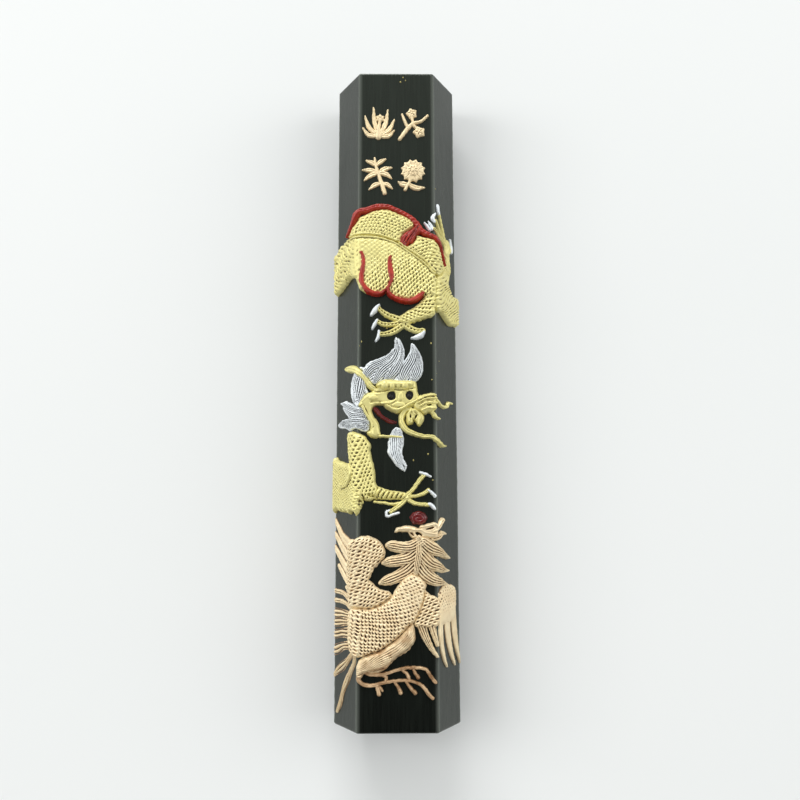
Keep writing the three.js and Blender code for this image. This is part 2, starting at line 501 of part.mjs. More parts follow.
relief('foot_upper', 'rose_gold',
  stroke(1.5, [-9, -100.6, 0.6], [-5.3, -100.6, 0.6], [-1.5, -99.6, 0.5], [2, -98.7, 0.5], [5.6, -98.5, 0.5],
    [9.9, -99.2, 0.5], [11.3, -101.3, 0.5], [12.9, -103.3, 0.5]),
  stroke(1.5, [1.6, -99.2, 0.4], [3.3, -100.6, 0.5], [3.9, -102.2, 0.5]),
  stroke(1.5, [5.4, -99, 0.4], [6.3, -100.6, 0.5], [7.1, -101.7, 0.55]));

relief('foot_lower', 'rose_gold',
  stroke(1.5, [-13, -101, 0.8], [-13, -102.8, 0.7], [-11.5, -103.9, 0.6], [-8.5, -104.2, 0.6],
    [-1.3, -102.9, 0.5], [5.3, -103, 0.45], [9.4, -105.6, 0.5], [11.9, -108.5, 0.5]),
  stroke(1.5, [-7, -104.3, 0.6], [-6.6, -105.8, 0.6], [-6.3, -107.1, 0.6]),
  stroke(1.5, [-1, -103.2, 0.4], [0.2, -104.8, 0.5], [1, -106.6, 0.6]),
  stroke(1.5, [3, -103, 0.4], [4.4, -105, 0.5], [6, -106.8, 0.6]));

// Tail plumes sweep to the left parting edge and end flat against it.
const tailPlumes = {
  tail_plumes_top: [
    [[-18.4, -78.4, 0.6], [-21, -75.6, 0.8], [-25, -74, 0.8], [-30.8, -73.7, 0.8]],
    [[-18.4, -78.6, 0.6], [-22, -77.6, 0.6], [-26, -77.1, 0.7], [-30.8, -77, 0.75]],
  ],
  tail_plumes_middle: [
    [[-18.6, -82.4, 1.4], [-24, -81.3, 1.4], [-30.8, -81.5, 1.7]],
    [[-18.6, -83.2, 1.4], [-24, -84.6, 1.2], [-30.8, -85.2, 1.3]],
  ],
  tail_plume_broad: [
    [[-17, -87, 1.5], [-22, -87.7, 1.6], [-30.8, -88.9, 1.5]],
  ],
  tail_plume_low: [
    [[-16.5, -90.6, 1.5], [-23, -92.2, 1.3], [-27, -93.5, 1.7], [-30.8, -94.6, 1.8]],
  ],
  tail_plumes_trailing: [
    [[-15.4, -94.8, 1.2], [-20.3, -96.9, 1.1], [-23.3, -98.8, 1.5], [-30.2, -102.9, 0.8]],
    [[-15, -95.4, 1.2], [-17.5, -99.8, 1.1], [-20, -102.7, 1.4], [-24, -108.6, 1], [-27.8, -115, 0.7]],
  ],
};
for (const [name, lines] of Object.entries(tailPlumes)) {
  relief(name, 'rose_gold', lines.map((line) => stroke(1.8, ...line)));
}

export default inkStick;
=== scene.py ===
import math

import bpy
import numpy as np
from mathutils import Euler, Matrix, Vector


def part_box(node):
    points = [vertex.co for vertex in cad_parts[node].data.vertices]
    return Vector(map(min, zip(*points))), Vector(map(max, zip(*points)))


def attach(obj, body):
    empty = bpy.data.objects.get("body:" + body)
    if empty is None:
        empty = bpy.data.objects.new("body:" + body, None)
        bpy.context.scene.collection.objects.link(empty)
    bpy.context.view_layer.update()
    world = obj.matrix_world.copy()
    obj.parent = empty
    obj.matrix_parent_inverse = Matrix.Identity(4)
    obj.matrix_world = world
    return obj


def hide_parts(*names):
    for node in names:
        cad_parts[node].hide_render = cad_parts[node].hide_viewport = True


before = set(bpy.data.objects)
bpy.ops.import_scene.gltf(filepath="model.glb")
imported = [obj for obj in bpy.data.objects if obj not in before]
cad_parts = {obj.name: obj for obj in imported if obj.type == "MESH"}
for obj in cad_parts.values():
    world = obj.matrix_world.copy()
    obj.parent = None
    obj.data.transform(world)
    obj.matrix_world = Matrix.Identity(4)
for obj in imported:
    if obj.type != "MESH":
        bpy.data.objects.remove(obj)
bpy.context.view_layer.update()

# An ink stick lying on its plain back. The cake and every raised shape of its relief are sculpted
# here as height fields. A shape is drawn on the skin of the cake unrolled flat, in millimetres:
# u runs across from the middle of the front face, v runs along the stick, and a height stands
# above the skin. Numpy works the heights out on a grid, which is then bent round the cake.

# ---- Sizes, in millimetres ----

MM = 0.001
BODY_LOW, BODY_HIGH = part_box("ink_body")
LENGTH = (BODY_HIGH.y - BODY_LOW.y) / MM
THICKNESS = (BODY_HIGH.z - BODY_LOW.z) / MM
HALF_FACE = 14.0                       # half of the front face
FOLD = math.radians(60)                # turn of the skin at each fold
SIDE = THICKNESS / 2 / math.sin(FOLD)  # width of a side face
SKIN_EDGE = HALF_FACE + SIDE           # u of the parting edge
FOLD_RADIUS = 0.3                      # rounding of the long edges
END_RADIUS = 0.7                       # rounding of the edges round the two ends
HIGHLIGHT_AND_CHIP_REACH = 0.3                       # how fast the painted edge highlight and the edge chipping fade beside a long edge
PARTING_REACH = 0.16                   # half height of the parting line down each side
RINGS = 200                            # cross-sections of the cake along its length
EDGE_STEPS = 24                        # steps along each face of a cross-section
RELIEF_FOLD_RADIUS = 2.4               # the painted shapes turn more gently round the folds
CELL = 0.14     # spacing of the relief grids
SINK = 0.3                             # how deep the rim of a shape is buried in the cake
FLOOR = 0.5                            # depth of a shape's hidden underside
MARGIN = 0.12                          # a shape's flank starts this far outside its outline
FINE = 6                               # points between two given points of a curve


# ---- Curves and fields on the unrolled skin ----

def spline(points, closed=False):
    """A smooth curve through the points, as rows of the same length as a point."""
    p = np.array(points, float)
    if closed:
        p = np.vstack([p[-1], p, p[0], p[1]])
    else:
        p = np.vstack([2 * p[0] - p[1], p, 2 * p[-1] - p[-2]])
    t = np.linspace(0, 1, FINE, endpoint=False)[:, None]
    rows = []
    for a, b, c, d in zip(p, p[1:], p[2:], p[3:]):
        turn = (2 * a - 5 * b + 4 * c - d) * t ** 2 + (3 * b - a - 3 * c + d) * t ** 3
        rows.append(b + 0.5 * ((c - a) * t + turn))
    if not closed:
        rows.append(p[-2][None])
    return np.vstack(rows)


def inside_distance(u, v, outline):
    """Distance from each grid point to a closed outline, positive inside it."""
    nearest = np.full(u.shape, 1e9)
    inside = np.zeros(u.shape, bool)
    for (u0, v0), (u1, v1) in zip(outline, np.roll(outline, -1, axis=0)):
        du, dv = u1 - u0, v1 - v0
        share = np.clip(((u - u0) * du + (v - v0) * dv) / (du * du + dv * dv + 1e-12), 0, 1)
        nearest = np.minimum(nearest, (u - u0 - share * du) ** 2 + (v - v0 - share * dv) ** 2)
        if v0 != v1:
            inside ^= ((v0 > v) != (v1 > v)) & (u < u0 + (v - v0) * du / dv)
    return np.sqrt(nearest) * np.where(inside, 1, -1)


def along_curve(u, v, line):
    """For each grid point: depth inside the stroke, length along it, sideways distance, half width."""
    depth = np.full(u.shape, -1e9)
    along, aside, half = (np.zeros(u.shape) for _ in range(3))
    run = 0.0
    for (u0, v0, w0), (u1, v1, w1) in zip(line, line[1:]):
        du, dv = u1 - u0, v1 - v0
        length = math.hypot(du, dv) + 1e-9
        share = np.clip(((u - u0) * du + (v - v0) * dv) / length ** 2, 0, 1)
        gap = np.hypot(u - u0 - share * du, v - v0 - share * dv)
        width = np.maximum(w0 + share * (w1 - w0), 0.05)
        better = width - gap > depth
        side = np.sign((v - v0) * du - (u - u0) * dv)
        depth = np.where(better, width - gap, depth)
        along = np.where(better, run + share * length, along)
        aside = np.where(better, side * gap, aside)
        half = np.where(better, width, half)
        run += length
    return depth, along, aside, half


def curve_frame(u, v, points):
    """Length along a guide line and signed distance beside it, for laying out a pattern."""
    line = spline([(a, b, 0.1) for a, b in points])
    _, along, aside, _ = along_curve(u, v, line)
    return along, aside


def wobble(u, v, size, seed=0):
    """Smooth uneven field between about -1 and 1."""
    draws = np.random.default_rng(seed).uniform(0, 2 * math.pi, (6, 2))
    total = np.zeros(np.shape(u))
    for turn, shift in draws:
        total = total + np.sin((u * math.cos(turn) + v * math.sin(turn)) * 2 * math.pi / size + shift)
    return total / 3


def dome(x):
    """A quarter-round rise from 0 to 1."""
    x = np.clip(x, 0, 1)
    return np.sqrt(1 - (1 - x) ** 2)


def ramp(x, low, high):
    x = np.clip((x - low) / (high - low), 0, 1)
    return x * x * (3 - 2 * x)


def lift(depth, height, edge):
    """Height over the skin at a depth inside an outline, with a rounded flank of width edge."""
    return (height + SINK) * dome((depth + MARGIN) / edge) - SINK


# ---- Surface patterns ----

def pitted(guide, step, row, long, wide, depth, tilt=0.0, seed=0, fade=None, crosswise=False):
    """Staggered rows of pressed pits along a guide line, or across it, each so long and wide and
    turned by tilt. fade gives the strength of the pits from place to place."""
    cos, sin = math.cos(tilt), math.sin(tilt)

    def pattern(u, v, _depth):
        along, aside = curve_frame(u, v, guide)
        along = along + 0.22 * wobble(u, v, 6, seed)
        aside = aside + 0.22 * wobble(u, v, 7, seed + 1)
        if crosswise:
            along, aside = aside, along
        line = np.round(aside / row)
        stagger = 0.5 * np.mod(line, 2)
        place = np.round(along / step - stagger)
        draw = np.mod(np.sin(place * 12.99 + line * 78.23 + seed) * 43758.5, 1)
        x = along - (place + stagger + 0.26 * (draw - 0.5)) * step
        y = aside - line * row
        away = ((x * cos + y * sin) / long) ** 2 + ((y * cos - x * sin) / wide) ** 2
        strength = fade(u, v) if fade else 1
        swell = np.cos(math.pi * (aside / row - 0.2)) * np.cos(2 * math.pi * (along / step - 0.08))
        return -depth * strength * (0.27 * swell + (0.35 + 0.65 * draw) * np.exp(-away ** 1.3))
    return pattern


def stranded(guide, pitch, depth, seed=0, lean=0.0):
    """Cords lying side by side across the guide line, leaning by so much for each step aside."""
    def pattern(u, v, _depth):
        along, aside = curve_frame(u, v, guide)
        phase = (along + lean * aside + 0.35 * wobble(u, v, 9, seed)) / pitch
        cord = np.abs(np.sin(math.pi * phase)) ** 0.9
        beads = 0.5 + 0.5 * np.sin(2 * math.pi * (aside / (1.9 * pitch) + 0.5 * np.floor(phase)))
        strength = 0.7 + 0.3 * wobble(u, v, 4, seed + 2)
        return depth * strength * (cord - 1) - 0.18 * depth * beads
    return pattern


def combed(guide, pitch, depth, seed=0, spread=0.0):
    """Fine hairs that run along the guide line, and fan out by so much for each step along it."""
    def pattern(u, v, _depth):
        along, aside = curve_frame(u, v, guide)
        phase = aside / (1 + spread * along) / pitch + 0.5 * wobble(u, v, 8, seed)
        strength = 0.65 + 0.35 * wobble(u, v, 3, seed + 1)
        return -depth * strength * (0.5 + 0.5 * np.cos(2 * math.pi * phase)) ** 1.4
    return pattern


# ---- Elements: each gives a depth inside its outline and a height ----

def blob(height, *points, edge=1.2, pattern=None, crown=0.0, crown_width=6.0):
    """A raised patch inside a closed curve. Its middle may be crowned."""
    outline = spline(points, closed=True)

    def field(u, v):
        depth = inside_distance(u, v, outline) + 0.09 * wobble(u, v, 1.9, 11)
        h = lift(depth, height, edge) + crown * dome(depth / crown_width)
        if pattern:
            h = h + pattern(u, v, depth) * ramp(depth, -0.05, 0.35)
        return depth, h
    return outline.min(0), outline.max(0), field


def stroke(height, *points, round_=1.0, strands=0, groove=0.0, dashes=0.0, beads=0.0):
    """A raised brush stroke through (u, v, half width). strands are fine grooves that run along it
    and close up towards its ends, groove is one line down its middle, broken up by dashes, and
    beads are rounded notches across it."""
    line = spline(points)
    line[:, 2] = np.maximum(line[:, 2], 0.15)

    def field(u, v):
        depth, along, aside, half = along_curve(u, v, line)
        depth = depth + 0.07 * wobble(u, v, 1.7, 13)
        across = aside / half
        h = lift(depth, height, np.maximum(half * round_, 0.3))
        if strands:
            cut = 0.5 + 0.5 * np.cos(math.pi * strands * across + 1.1 * wobble(along, 3 * across, 9, 3))
            h = h - 0.62 * np.minimum(half, 1.0) * cut ** 1.5 * ramp(depth, 0, 0.25)
        if groove:
            broken = 1 - dashes * (0.5 + 0.5 * np.cos(2 * math.pi * along / 1.3))
            h = h - groove * broken * np.exp(-(across / 0.3) ** 2) * ramp(depth, 0, 0.25)
        if beads:
            h = h - beads * np.abs(np.cos(math.pi * along / 1.6 - 1.3 * across)) ** 2.5 * ramp(depth, 0, 0.3)
        return depth, h
    reach = line[:, 2:].max()
    return line[:, :2].min(0) - reach, line[:, :2].max(0) + reach, field


def oval(height, u0, v0, radius_u, radius_v, edge=0.8, lobes=0, lobe_depth=0.0, petal_cut=0.0):
    """A raised round or lobed patch."""
    def field(u, v):
        angle = np.arctan2((v - v0) / radius_v, (u - u0) / radius_u)
        size = math.sqrt(radius_u * radius_v)
        reach = size * (1 - lobe_depth * np.abs(np.cos(lobes * angle / 2)))
        away = size * np.hypot((u - u0) / radius_u, (v - v0) / radius_v)
        depth = reach - away
        h = lift(depth, height, edge)
        h = h - petal_cut * np.exp(-(np.cos(lobes * angle / 2) * away / 0.35) ** 2) * ramp(depth, 0, 0.3)
        return depth, h
    low = np.array([u0 - radius_u, v0 - radius_v])
    high = np.array([u0 + radius_u, v0 + radius_v])
    return low, high, field


def leaves(height, root, tips, half):
    """Pointed leaves from one root to each tip (u, v, bow), each with a middle vein."""
    out = []
    for u, v, bow in tips:
        length = math.hypot(u - root[0], v - root[1])
        middle_u = (u + root[0]) / 2 - (v - root[1]) / length * bow
        middle_v = (v + root[1]) / 2 + (u - root[0]) / length * bow
        points = (root[0], root[1], half * 0.5), (middle_u, middle_v, half), (u, v, half * 0.2)
        out.append(stroke(height, *points, groove=0.25))
    return out


def carve(depth, *points, edge=0.5):
    """A hollow pressed into whatever lies under it."""
    outline = spline(points, closed=True)

    def field(u, v):
        return depth * ramp(inside_distance(u, v, outline), -0.1, edge)
    return field


# ---- Bending on to the cake ----

def bend(u, v, h, radius=RELIEF_FOLD_RADIUS):
    """Points of the row frame, in metres, for unrolled places and heights over the skin."""
    side = np.sign(u)
    start = HALF_FACE - radius * math.tan(FOLD / 2)
    arc = radius * FOLD
    past = np.abs(u) - start
    turn = np.clip(past / arc, 0, 1) * FOLD
    beyond = np.maximum(past - arc, 0)
    x = np.minimum(np.abs(u), start) + radius * np.sin(turn) + beyond * math.cos(FOLD)
    z = THICKNESS - radius * (1 - np.cos(turn)) - beyond * math.sin(FOLD)
    x = x + h * np.sin(turn)
    z = z + h * np.cos(turn)
    return np.stack([side * x, v, z], axis=-1) * MM


def blur(h, reach):
    """Mean over a square window of the grid."""
    for axis in (0, 1):
        pad = [(0, 0), (0, 0)]
        pad[axis] = (reach + 1, reach)
        total = np.cumsum(np.pad(h, pad, mode="edge"), axis=axis)
        size = h.shape[axis]
        high = np.take(total, np.arange(2 * reach + 1, 2 * reach + 1 + size), axis=axis)
        low = np.take(total, np.arange(size), axis=axis)
        h = (high - low) / (2 * reach + 1)
    return h


def mesh_object(name, vertices, faces, attributes):
    mesh = bpy.data.meshes.new(name)
    mesh.from_pydata(vertices.tolist(), [], faces)
    for key, values in attributes.items():
        attribute = mesh.attributes.new(key, "FLOAT", "POINT")
        attribute.data.foreach_set("value", np.asarray(values, np.float32))
    mesh.polygons.foreach_set("use_smooth", np.ones(len(faces), bool))
    mesh.update()
    obj = bpy.data.objects.new(name, mesh)
    bpy.context.scene.collection.objects.link(obj)
    return obj


def relief_object(name, elements, carvings=(), recess_scale=0.27):
    """The closed mesh of one raised shape."""
    low = np.min([e[0] for e in elements], axis=0) - 2 * SINK
    high = np.max([e[1] for e in elements], axis=0) + 2 * SINK
    low[0] = max(low[0], -SKIN_EDGE)
    high[0] = min(high[0], SKIN_EDGE)
    steps = np.maximum(np.round((high - low) / CELL).astype(int), 2)
    u, v = np.meshgrid(np.linspace(low[0], high[0], steps[0] + 1),
                       np.linspace(low[1], high[1], steps[1] + 1), indexing="ij")
    depth = np.full(u.shape, -1e9)
    height = np.full(u.shape, -SINK)
    for _, _, field in elements:
        d, h = field(u, v)
        depth = np.maximum(depth, d)
        height = np.maximum(height, h)
    for field in carvings:
        height = height - field(u, v)
    height = np.maximum(height, -SINK)
    # The mould's parting edge rounds off what runs over the side.
    rim = dome((SKIN_EDGE + 0.05 - np.abs(u)) / 1.4)
    height = np.where(height > 0, height * rim, height)
    # recess measures how far a point lies below the mean height round it; the paint turns darker there, as
    # painted shade.
    shade = blur(height, max(2, round(0.55 / CELL))) - height
    recess = np.clip(shade / recess_scale, 0, 1) * ramp(depth, 0.1, 0.6)
    # fade, stored as the rim attribute, rises down a shape's low flanks; the paint turns darker there too,
    # as painted shade.
    fade = 1 - ramp(height, 0.05, 0.5)
    use = depth > -SINK - MARGIN
    cells = use[:-1, :-1] & use[1:, :-1] & use[1:, 1:] & use[:-1, 1:]
    index = np.arange(u.size).reshape(u.shape)
    quads = np.stack([index[:-1, :-1], index[1:, :-1], index[1:, 1:], index[:-1, 1:]], -1)[cells]
    kept, quads = np.unique(quads, return_inverse=True)
    quads = quads.reshape(-1, 4)
    count = len(kept)
    top = bend(u.ravel()[kept], v.ravel()[kept], height.ravel()[kept])
    bottom = bend(u.ravel()[kept], v.ravel()[kept], np.full(count, -FLOOR))
    edges = np.vstack([quads[:, [0, 1]], quads[:, [1, 2]], quads[:, [2, 3]], quads[:, [3, 0]]])
    keys = edges[:, 0] * count + edges[:, 1]
    back = edges[:, 1] * count + edges[:, 0]
    rim_edges = edges[~np.isin(keys, back)]
    start, end = rim_edges.T
    walls = np.stack([end, start, start + count, end + count], -1)
    faces = np.vstack([quads, quads[:, ::-1] + count, walls])
    values = {"recess": np.tile(recess.ravel()[kept], 2), "rim": np.tile(fade.ravel()[kept], 2)}
    return mesh_object(name, np.vstack([top, bottom]), faces.tolist(), values)


# ---- Materials ----

class Nodes:
    """A new node material with a Principled shader, and short calls for the nodes that feed it."""

    def __init__(self, name):
        self.material = bpy.data.materials.new(name)
        self.material.use_nodes = True
        self.tree = self.material.node_tree
        self.shader = self.tree.nodes["Principled BSDF"]
        place = self.tree.nodes.new("ShaderNodeTexCoord")
        self.place = place.outputs["Object"]

    def link(self, value, socket):
        if isinstance(value, bpy.types.NodeSocket):
            self.tree.links.new(value, socket)
        elif hasattr(value, "__len__"):
            socket.default_value = (*value, 1.0)[:4]
        else:
            socket.default_value = value

    def attribute(self, name):
        node = self.tree.nodes.new("ShaderNodeAttribute")
        node.attribute_name = name
        return node.outputs["Fac"]

    def noise(self, scale, stretch=(1, 1, 1), detail=4, rough=0.55):
        mapping = self.tree.nodes.new("ShaderNodeMapping")
        mapping.inputs["Scale"].default_value = stretch
        self.tree.links.new(self.place, mapping.inputs["Vector"])
        node = self.tree.nodes.new("ShaderNodeTexNoise")
        node.inputs["Scale"].default_value = scale
        node.inputs["Detail"].default_value = detail
        node.inputs["Roughness"].default_value = rough
        self.tree.links.new(mapping.outputs["Vector"], node.inputs["Vector"])
        return node.outputs["Fac"]

    def math(self, operation, a, b=0.5):
        node = self.tree.nodes.new("ShaderNodeMath")
        node.operation = operation
        self.link(a, node.inputs[0])
        self.link(b, node.inputs[1])
        return node.outputs[0]

    def spread(self, value, low, high, to_low=0.0, to_high=1.0):
        node = self.tree.nodes.new("ShaderNodeMapRange")
        self.link(value, node.inputs["Value"])
        for key, number in zip(("From Min", "From Max", "To Min", "To Max"), (low, high, to_low, to_high)):
            node.inputs[key].default_value = number
        return node.outputs["Result"]

    def mix(self, share, a, b):
        node = self.tree.nodes.new("ShaderNodeMix")
        node.data_type = "RGBA"
        self.link(share, node.inputs["Factor"])
        self.link(a, node.inputs[6])
        self.link(b, node.inputs[7])
        return node.outputs[2]

    def bump(self, height, strength, distance):
        node = self.tree.nodes.new("ShaderNodeBump")
        node.inputs["Strength"].default_value = strength
        node.inputs["Distance"].default_value = distance
        self.tree.links.new(height, node.inputs["Height"])
        self.tree.links.new(node.outputs["Normal"], self.shader.inputs["Normal"])

    def set(self, **sockets):
        for key, value in sockets.items():
            self.link(value, self.shader.inputs[key.replace("_", " ")])


def paint(name, light, deep, hollow_tone, recess, metallic, rough, coat=0.0, patchy=0.5, unevenness_low=0.4):
    """Brushed-on paint over the moulded relief: it pools unevenly. In the hollows and down the low flanks of
    each shape it darkens to a hollow tone and then to a recess tone, which is painted shade, with bare ink
    also showing in the deepest pits and in small missed spots. The dark red lacquer turns lighter there
    instead, a pink pattern of its own."""
    m = Nodes(name)
    cloud = m.noise(260, detail=5)
    fine = m.noise(2600, detail=3)
    brush = m.noise(900, stretch=(1, 0.25, 1), detail=4)
    color = m.mix(m.spread(cloud, 0.35, 0.65, 0, patchy), light, deep)
    # A random field that makes the painted shade in the hollows stronger in some places than in others.
    unevenness = m.noise(700, detail=2)
    hollow = m.math("MULTIPLY", m.attribute("recess"), m.spread(unevenness, 0.36, 0.62, unevenness_low, 1.15))
    hollow = m.math("MAXIMUM", m.spread(hollow, 0.12, 0.85), m.spread(m.attribute("rim"), 0.3, 1, 0, 0.55))
    # Painted shade: the colour moves to the hollow tone, then to the recess tone, where the hollow mask is
    # high.
    color = m.mix(m.spread(hollow, 0.04, 0.5, 0, 0.85), color, hollow_tone)
    color = m.mix(m.spread(hollow, 0.42, 0.95), color, recess)
    missed = m.spread(fine, 0.27, 0.22)
    color = m.mix(m.math("MULTIPLY", missed, 0.7), color, recess)
    m.set(Base_Color=color, Metallic=metallic, Coat_Weight=coat, Coat_Roughness=0.2)
    m.set(Roughness=m.spread(brush, 0.3, 0.7, rough - 0.08, rough + 0.12))
    m.bump(m.math("ADD", fine, m.math("MULTIPLY", brush, 1.5)), 0.25, 0.00006)
    return m.material


def ink_material():
    """Pressed soot and glue, satin from polishing along the stick, with a painted highlight along the long
    edges and round the ends.
    """
    m = Nodes("ink")
    streak = m.noise(1500, stretch=(1, 0.04, 1), detail=4, rough=0.6)
    cloud = m.noise(45, stretch=(1, 0.5, 1), detail=4)
    grain = m.noise(3200, detail=2)
    color = m.mix(m.spread(cloud, 0.35, 0.7), (0.0018, 0.0022, 0.0019), (0.0035, 0.0042, 0.0036))
    color = m.mix(m.spread(streak, 0.5, 0.72, 0, 0.3), color, (0.009, 0.0115, 0.0088))
    color = m.mix(m.spread(grain, 0.7, 0.78, 0, 0.35), color, (0.04, 0.039, 0.034))
    # Painted highlight: pale colour along the long edges and round the ends, where the rounded edges would
    # catch the light.
    color = m.mix(m.math("MULTIPLY", m.attribute("edge"), 0.7), color, (0.12, 0.13, 0.115))
    m.set(Base_Color=color, Specular_Tint=(0.86, 1.0, 0.82))
    m.set(Roughness=m.spread(streak, 0.35, 0.65, 0.26, 0.32))
    m.bump(m.math("ADD", streak, m.math("MULTIPLY", grain, 0.5)), 0.22, 0.00006)
    return m.material


# In each paint the third and fourth colours are the painted shade of hollows and low flanks, the recess tone
# partly bare ink; in dark_red_lacquer they are a lighter pink pattern.
MATERIALS = {
    "ink": ink_material(),
    "dragon_gold": paint("dragon_gold", (0.80, 0.73, 0.30), (0.64, 0.56, 0.20), (0.34, 0.27, 0.08),
        (0.045, 0.034, 0.012), 0.3, 0.42),
    "rose_gold": paint("rose_gold", (0.90, 0.75, 0.49), (0.70, 0.51, 0.28), (0.30, 0.15, 0.06),
        (0.06, 0.024, 0.010), 0.3, 0.42),
    "rubbed_rose_gold": paint("rubbed_rose_gold", (0.72, 0.50, 0.29), (0.28, 0.145, 0.062),
        (0.12, 0.05, 0.02), (0.04, 0.016, 0.007), 0.3, 0.4, patchy=1.0),
    "washed_rose_gold": paint("washed_rose_gold", (0.88, 0.72, 0.46), (0.40, 0.23, 0.10),
        (0.20, 0.10, 0.04), (0.05, 0.02, 0.008), 0.3, 0.4, patchy=0.9),
    "pale_gold": paint("pale_gold", (0.92, 0.76, 0.48), (0.78, 0.60, 0.34), (0.36, 0.22, 0.10),
        (0.08, 0.04, 0.018), 0.3, 0.42),
    "silver": paint("silver", (0.86, 0.90, 0.92), (0.72, 0.76, 0.79), (0.16, 0.18, 0.19),
        (0.010, 0.012, 0.012), 0.2, 0.36, unevenness_low=0.85),
    "red_lacquer": paint("red_lacquer", (0.45, 0.028, 0.012), (0.27, 0.012, 0.006), (0.16, 0.007, 0.004),
        (0.035, 0.002, 0.002), 0.0, 0.36, coat=0.15, patchy=0.9),
    "dark_red_lacquer": paint("dark_red_lacquer", (0.15, 0.007, 0.007), (0.06, 0.003, 0.004),
        (0.26, 0.03, 0.03), (0.35, 0.06, 0.06), 0.0, 0.28, coat=0.25, patchy=0.9),
    "black_lacquer": paint("black_lacquer", (0.003, 0.003, 0.003), (0.006, 0.006, 0.006),
        (0.003, 0.003, 0.003), (0.002, 0.002, 0.002), 0.0, 0.3),
}


def finish_piece(obj, slot, material=None):
    obj.data.materials.append(MATERIALS[material or slot])
    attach(obj, "root")
    return obj


def relief(node, slot, *elements, carvings=(), recess_scale=0.27, material=None):
    """Sculpts one raised shape and puts it in place of its CAD node."""
    flat = []
    for element in elements:
        flat.extend(element if isinstance(element, list) else [element])
    obj = finish_piece(relief_object(node + "_relief", flat, carvings, recess_scale), slot, material)
    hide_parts(node)


# ---- The cake ----

def section():
    """Places, outward normals and nearness to a long edge, once round the cake's cross-section."""
    half_z = THICKNESS / 2
    wide = HALF_FACE + SIDE * math.cos(FOLD)
    corners = [(HALF_FACE, -half_z), (wide, 0), (HALF_FACE, half_z),
               (-HALF_FACE, half_z), (-wide, 0), (-HALF_FACE, -half_z)]
    inset = FOLD_RADIUS / math.cos(FOLD / 2)
    places, normals, edge = [], [], []
    for i, (x, z) in enumerate(corners):
        heading = (i - 1) * FOLD
        middle = np.array([x - inset * math.cos(heading), z - inset * math.sin(heading)])
        for angle in np.linspace(heading - FOLD / 2, heading + FOLD / 2, 7):
            normals.append((math.cos(angle), math.sin(angle)))
            places.append(middle + FOLD_RADIUS * np.array(normals[-1]))
            edge.append(1.0)
        after = np.array(corners[(i + 1) % 6]) - np.array([x, z])
        run = np.linalg.norm(after) - 2 * FOLD_RADIUS * math.tan(FOLD / 2)
        start = places[-1]
        for k in range(1, EDGE_STEPS):
            share = k / EDGE_STEPS
            places.append(start + after / np.linalg.norm(after) * run * share)
            normals.append(normals[-1])
            edge.append(math.exp(-min(share, 1 - share) * run / HIGHLIGHT_AND_CHIP_REACH))
    return np.array(places) + [0, half_z], np.array(normals), np.array(edge)


def ink_body():
    places, normals, edge = section()
    count = len(places)
    centre = np.array([0, THICKNESS / 2])
    turns = np.linspace(0, math.pi / 2, 6)
    rings = [(-LENGTH / 2 + END_RADIUS * (1 - math.sin(t)), END_RADIUS * (1 - math.cos(t)), 1.0)
             for t in turns[::-1]]
    rings = [(-LENGTH / 2, END_RADIUS, s) for s in np.linspace(0.03, 0.97, 15)] + rings
    end_rings = len(rings)
    rings += [(y, 0.0, 1.0) for y in np.linspace(-LENGTH / 2, LENGTH / 2, RINGS)[1:-1]]
    rings += [(-y, a, b) for y, a, b in rings[:end_rings]][::-1]
    vertices, edges = [], []
    off_middle = np.abs(places[:, 1] - THICKNESS / 2)
    parting = np.exp(-(off_middle / PARTING_REACH) ** 2) * (np.abs(places[:, 0]) > HALF_FACE)
    for y, inward, shrink in rings:
        flat = centre + (places - centre) * (1 - 2 * inward / THICKNESS) * shrink
        rough = 0.035 * wobble(flat[:, 0] + flat[:, 1], np.full(count, y), 31, 4)
        rough = rough + 0.012 * wobble(flat[:, 0] - flat[:, 1], np.full(count, 0.3 * y), 5, 9)
        rough = rough - 0.05 * edge * np.clip(wobble(flat[:, 0], np.full(count, y), 3.1, 12) - 0.55, 0, 1)
        flat = flat + normals * (np.minimum(rough, 0.0) * (shrink == 1.0))[:, None]
        flash = 0.10 * parting * (0.7 + 0.3 * wobble(places[:, 0], np.full(count, y), 4, 2))
        flat[:, 0] += np.sign(flat[:, 0]) * flash * (inward == 0)
        end_dip = (0.05 * wobble(flat[:, 0], flat[:, 1], 13, 21) - 0.05) * (1 - shrink ** 6)
        across = np.full(count, y) + np.sign(y) * end_dip
        vertices.append(np.stack([flat[:, 0], across, flat[:, 1]], -1))
        # The edge attribute, which the ink paints as a highlight, also covers the rounding round the ends.
        edges.append(np.maximum(edge, inward / END_RADIUS) * (shrink == 1.0))
    ring_count = len(rings)
    grid = np.arange(ring_count * count).reshape(ring_count, count)
    after = np.roll(grid, -1, axis=1)
    faces = np.stack([grid[:-1], grid[1:], after[1:], after[:-1]], -1).reshape(-1, 4).tolist()
    faces.append(grid[0].tolist())
    faces.append(grid[-1][::-1].tolist())
    obj = mesh_object("ink_body_cake", np.vstack(vertices) * MM, faces, {"edge": np.concatenate(edges)})
    finish_piece(obj, "ink")
    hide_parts("ink_body")


ink_body()


# ---- Four plant sprigs near the upper end ----

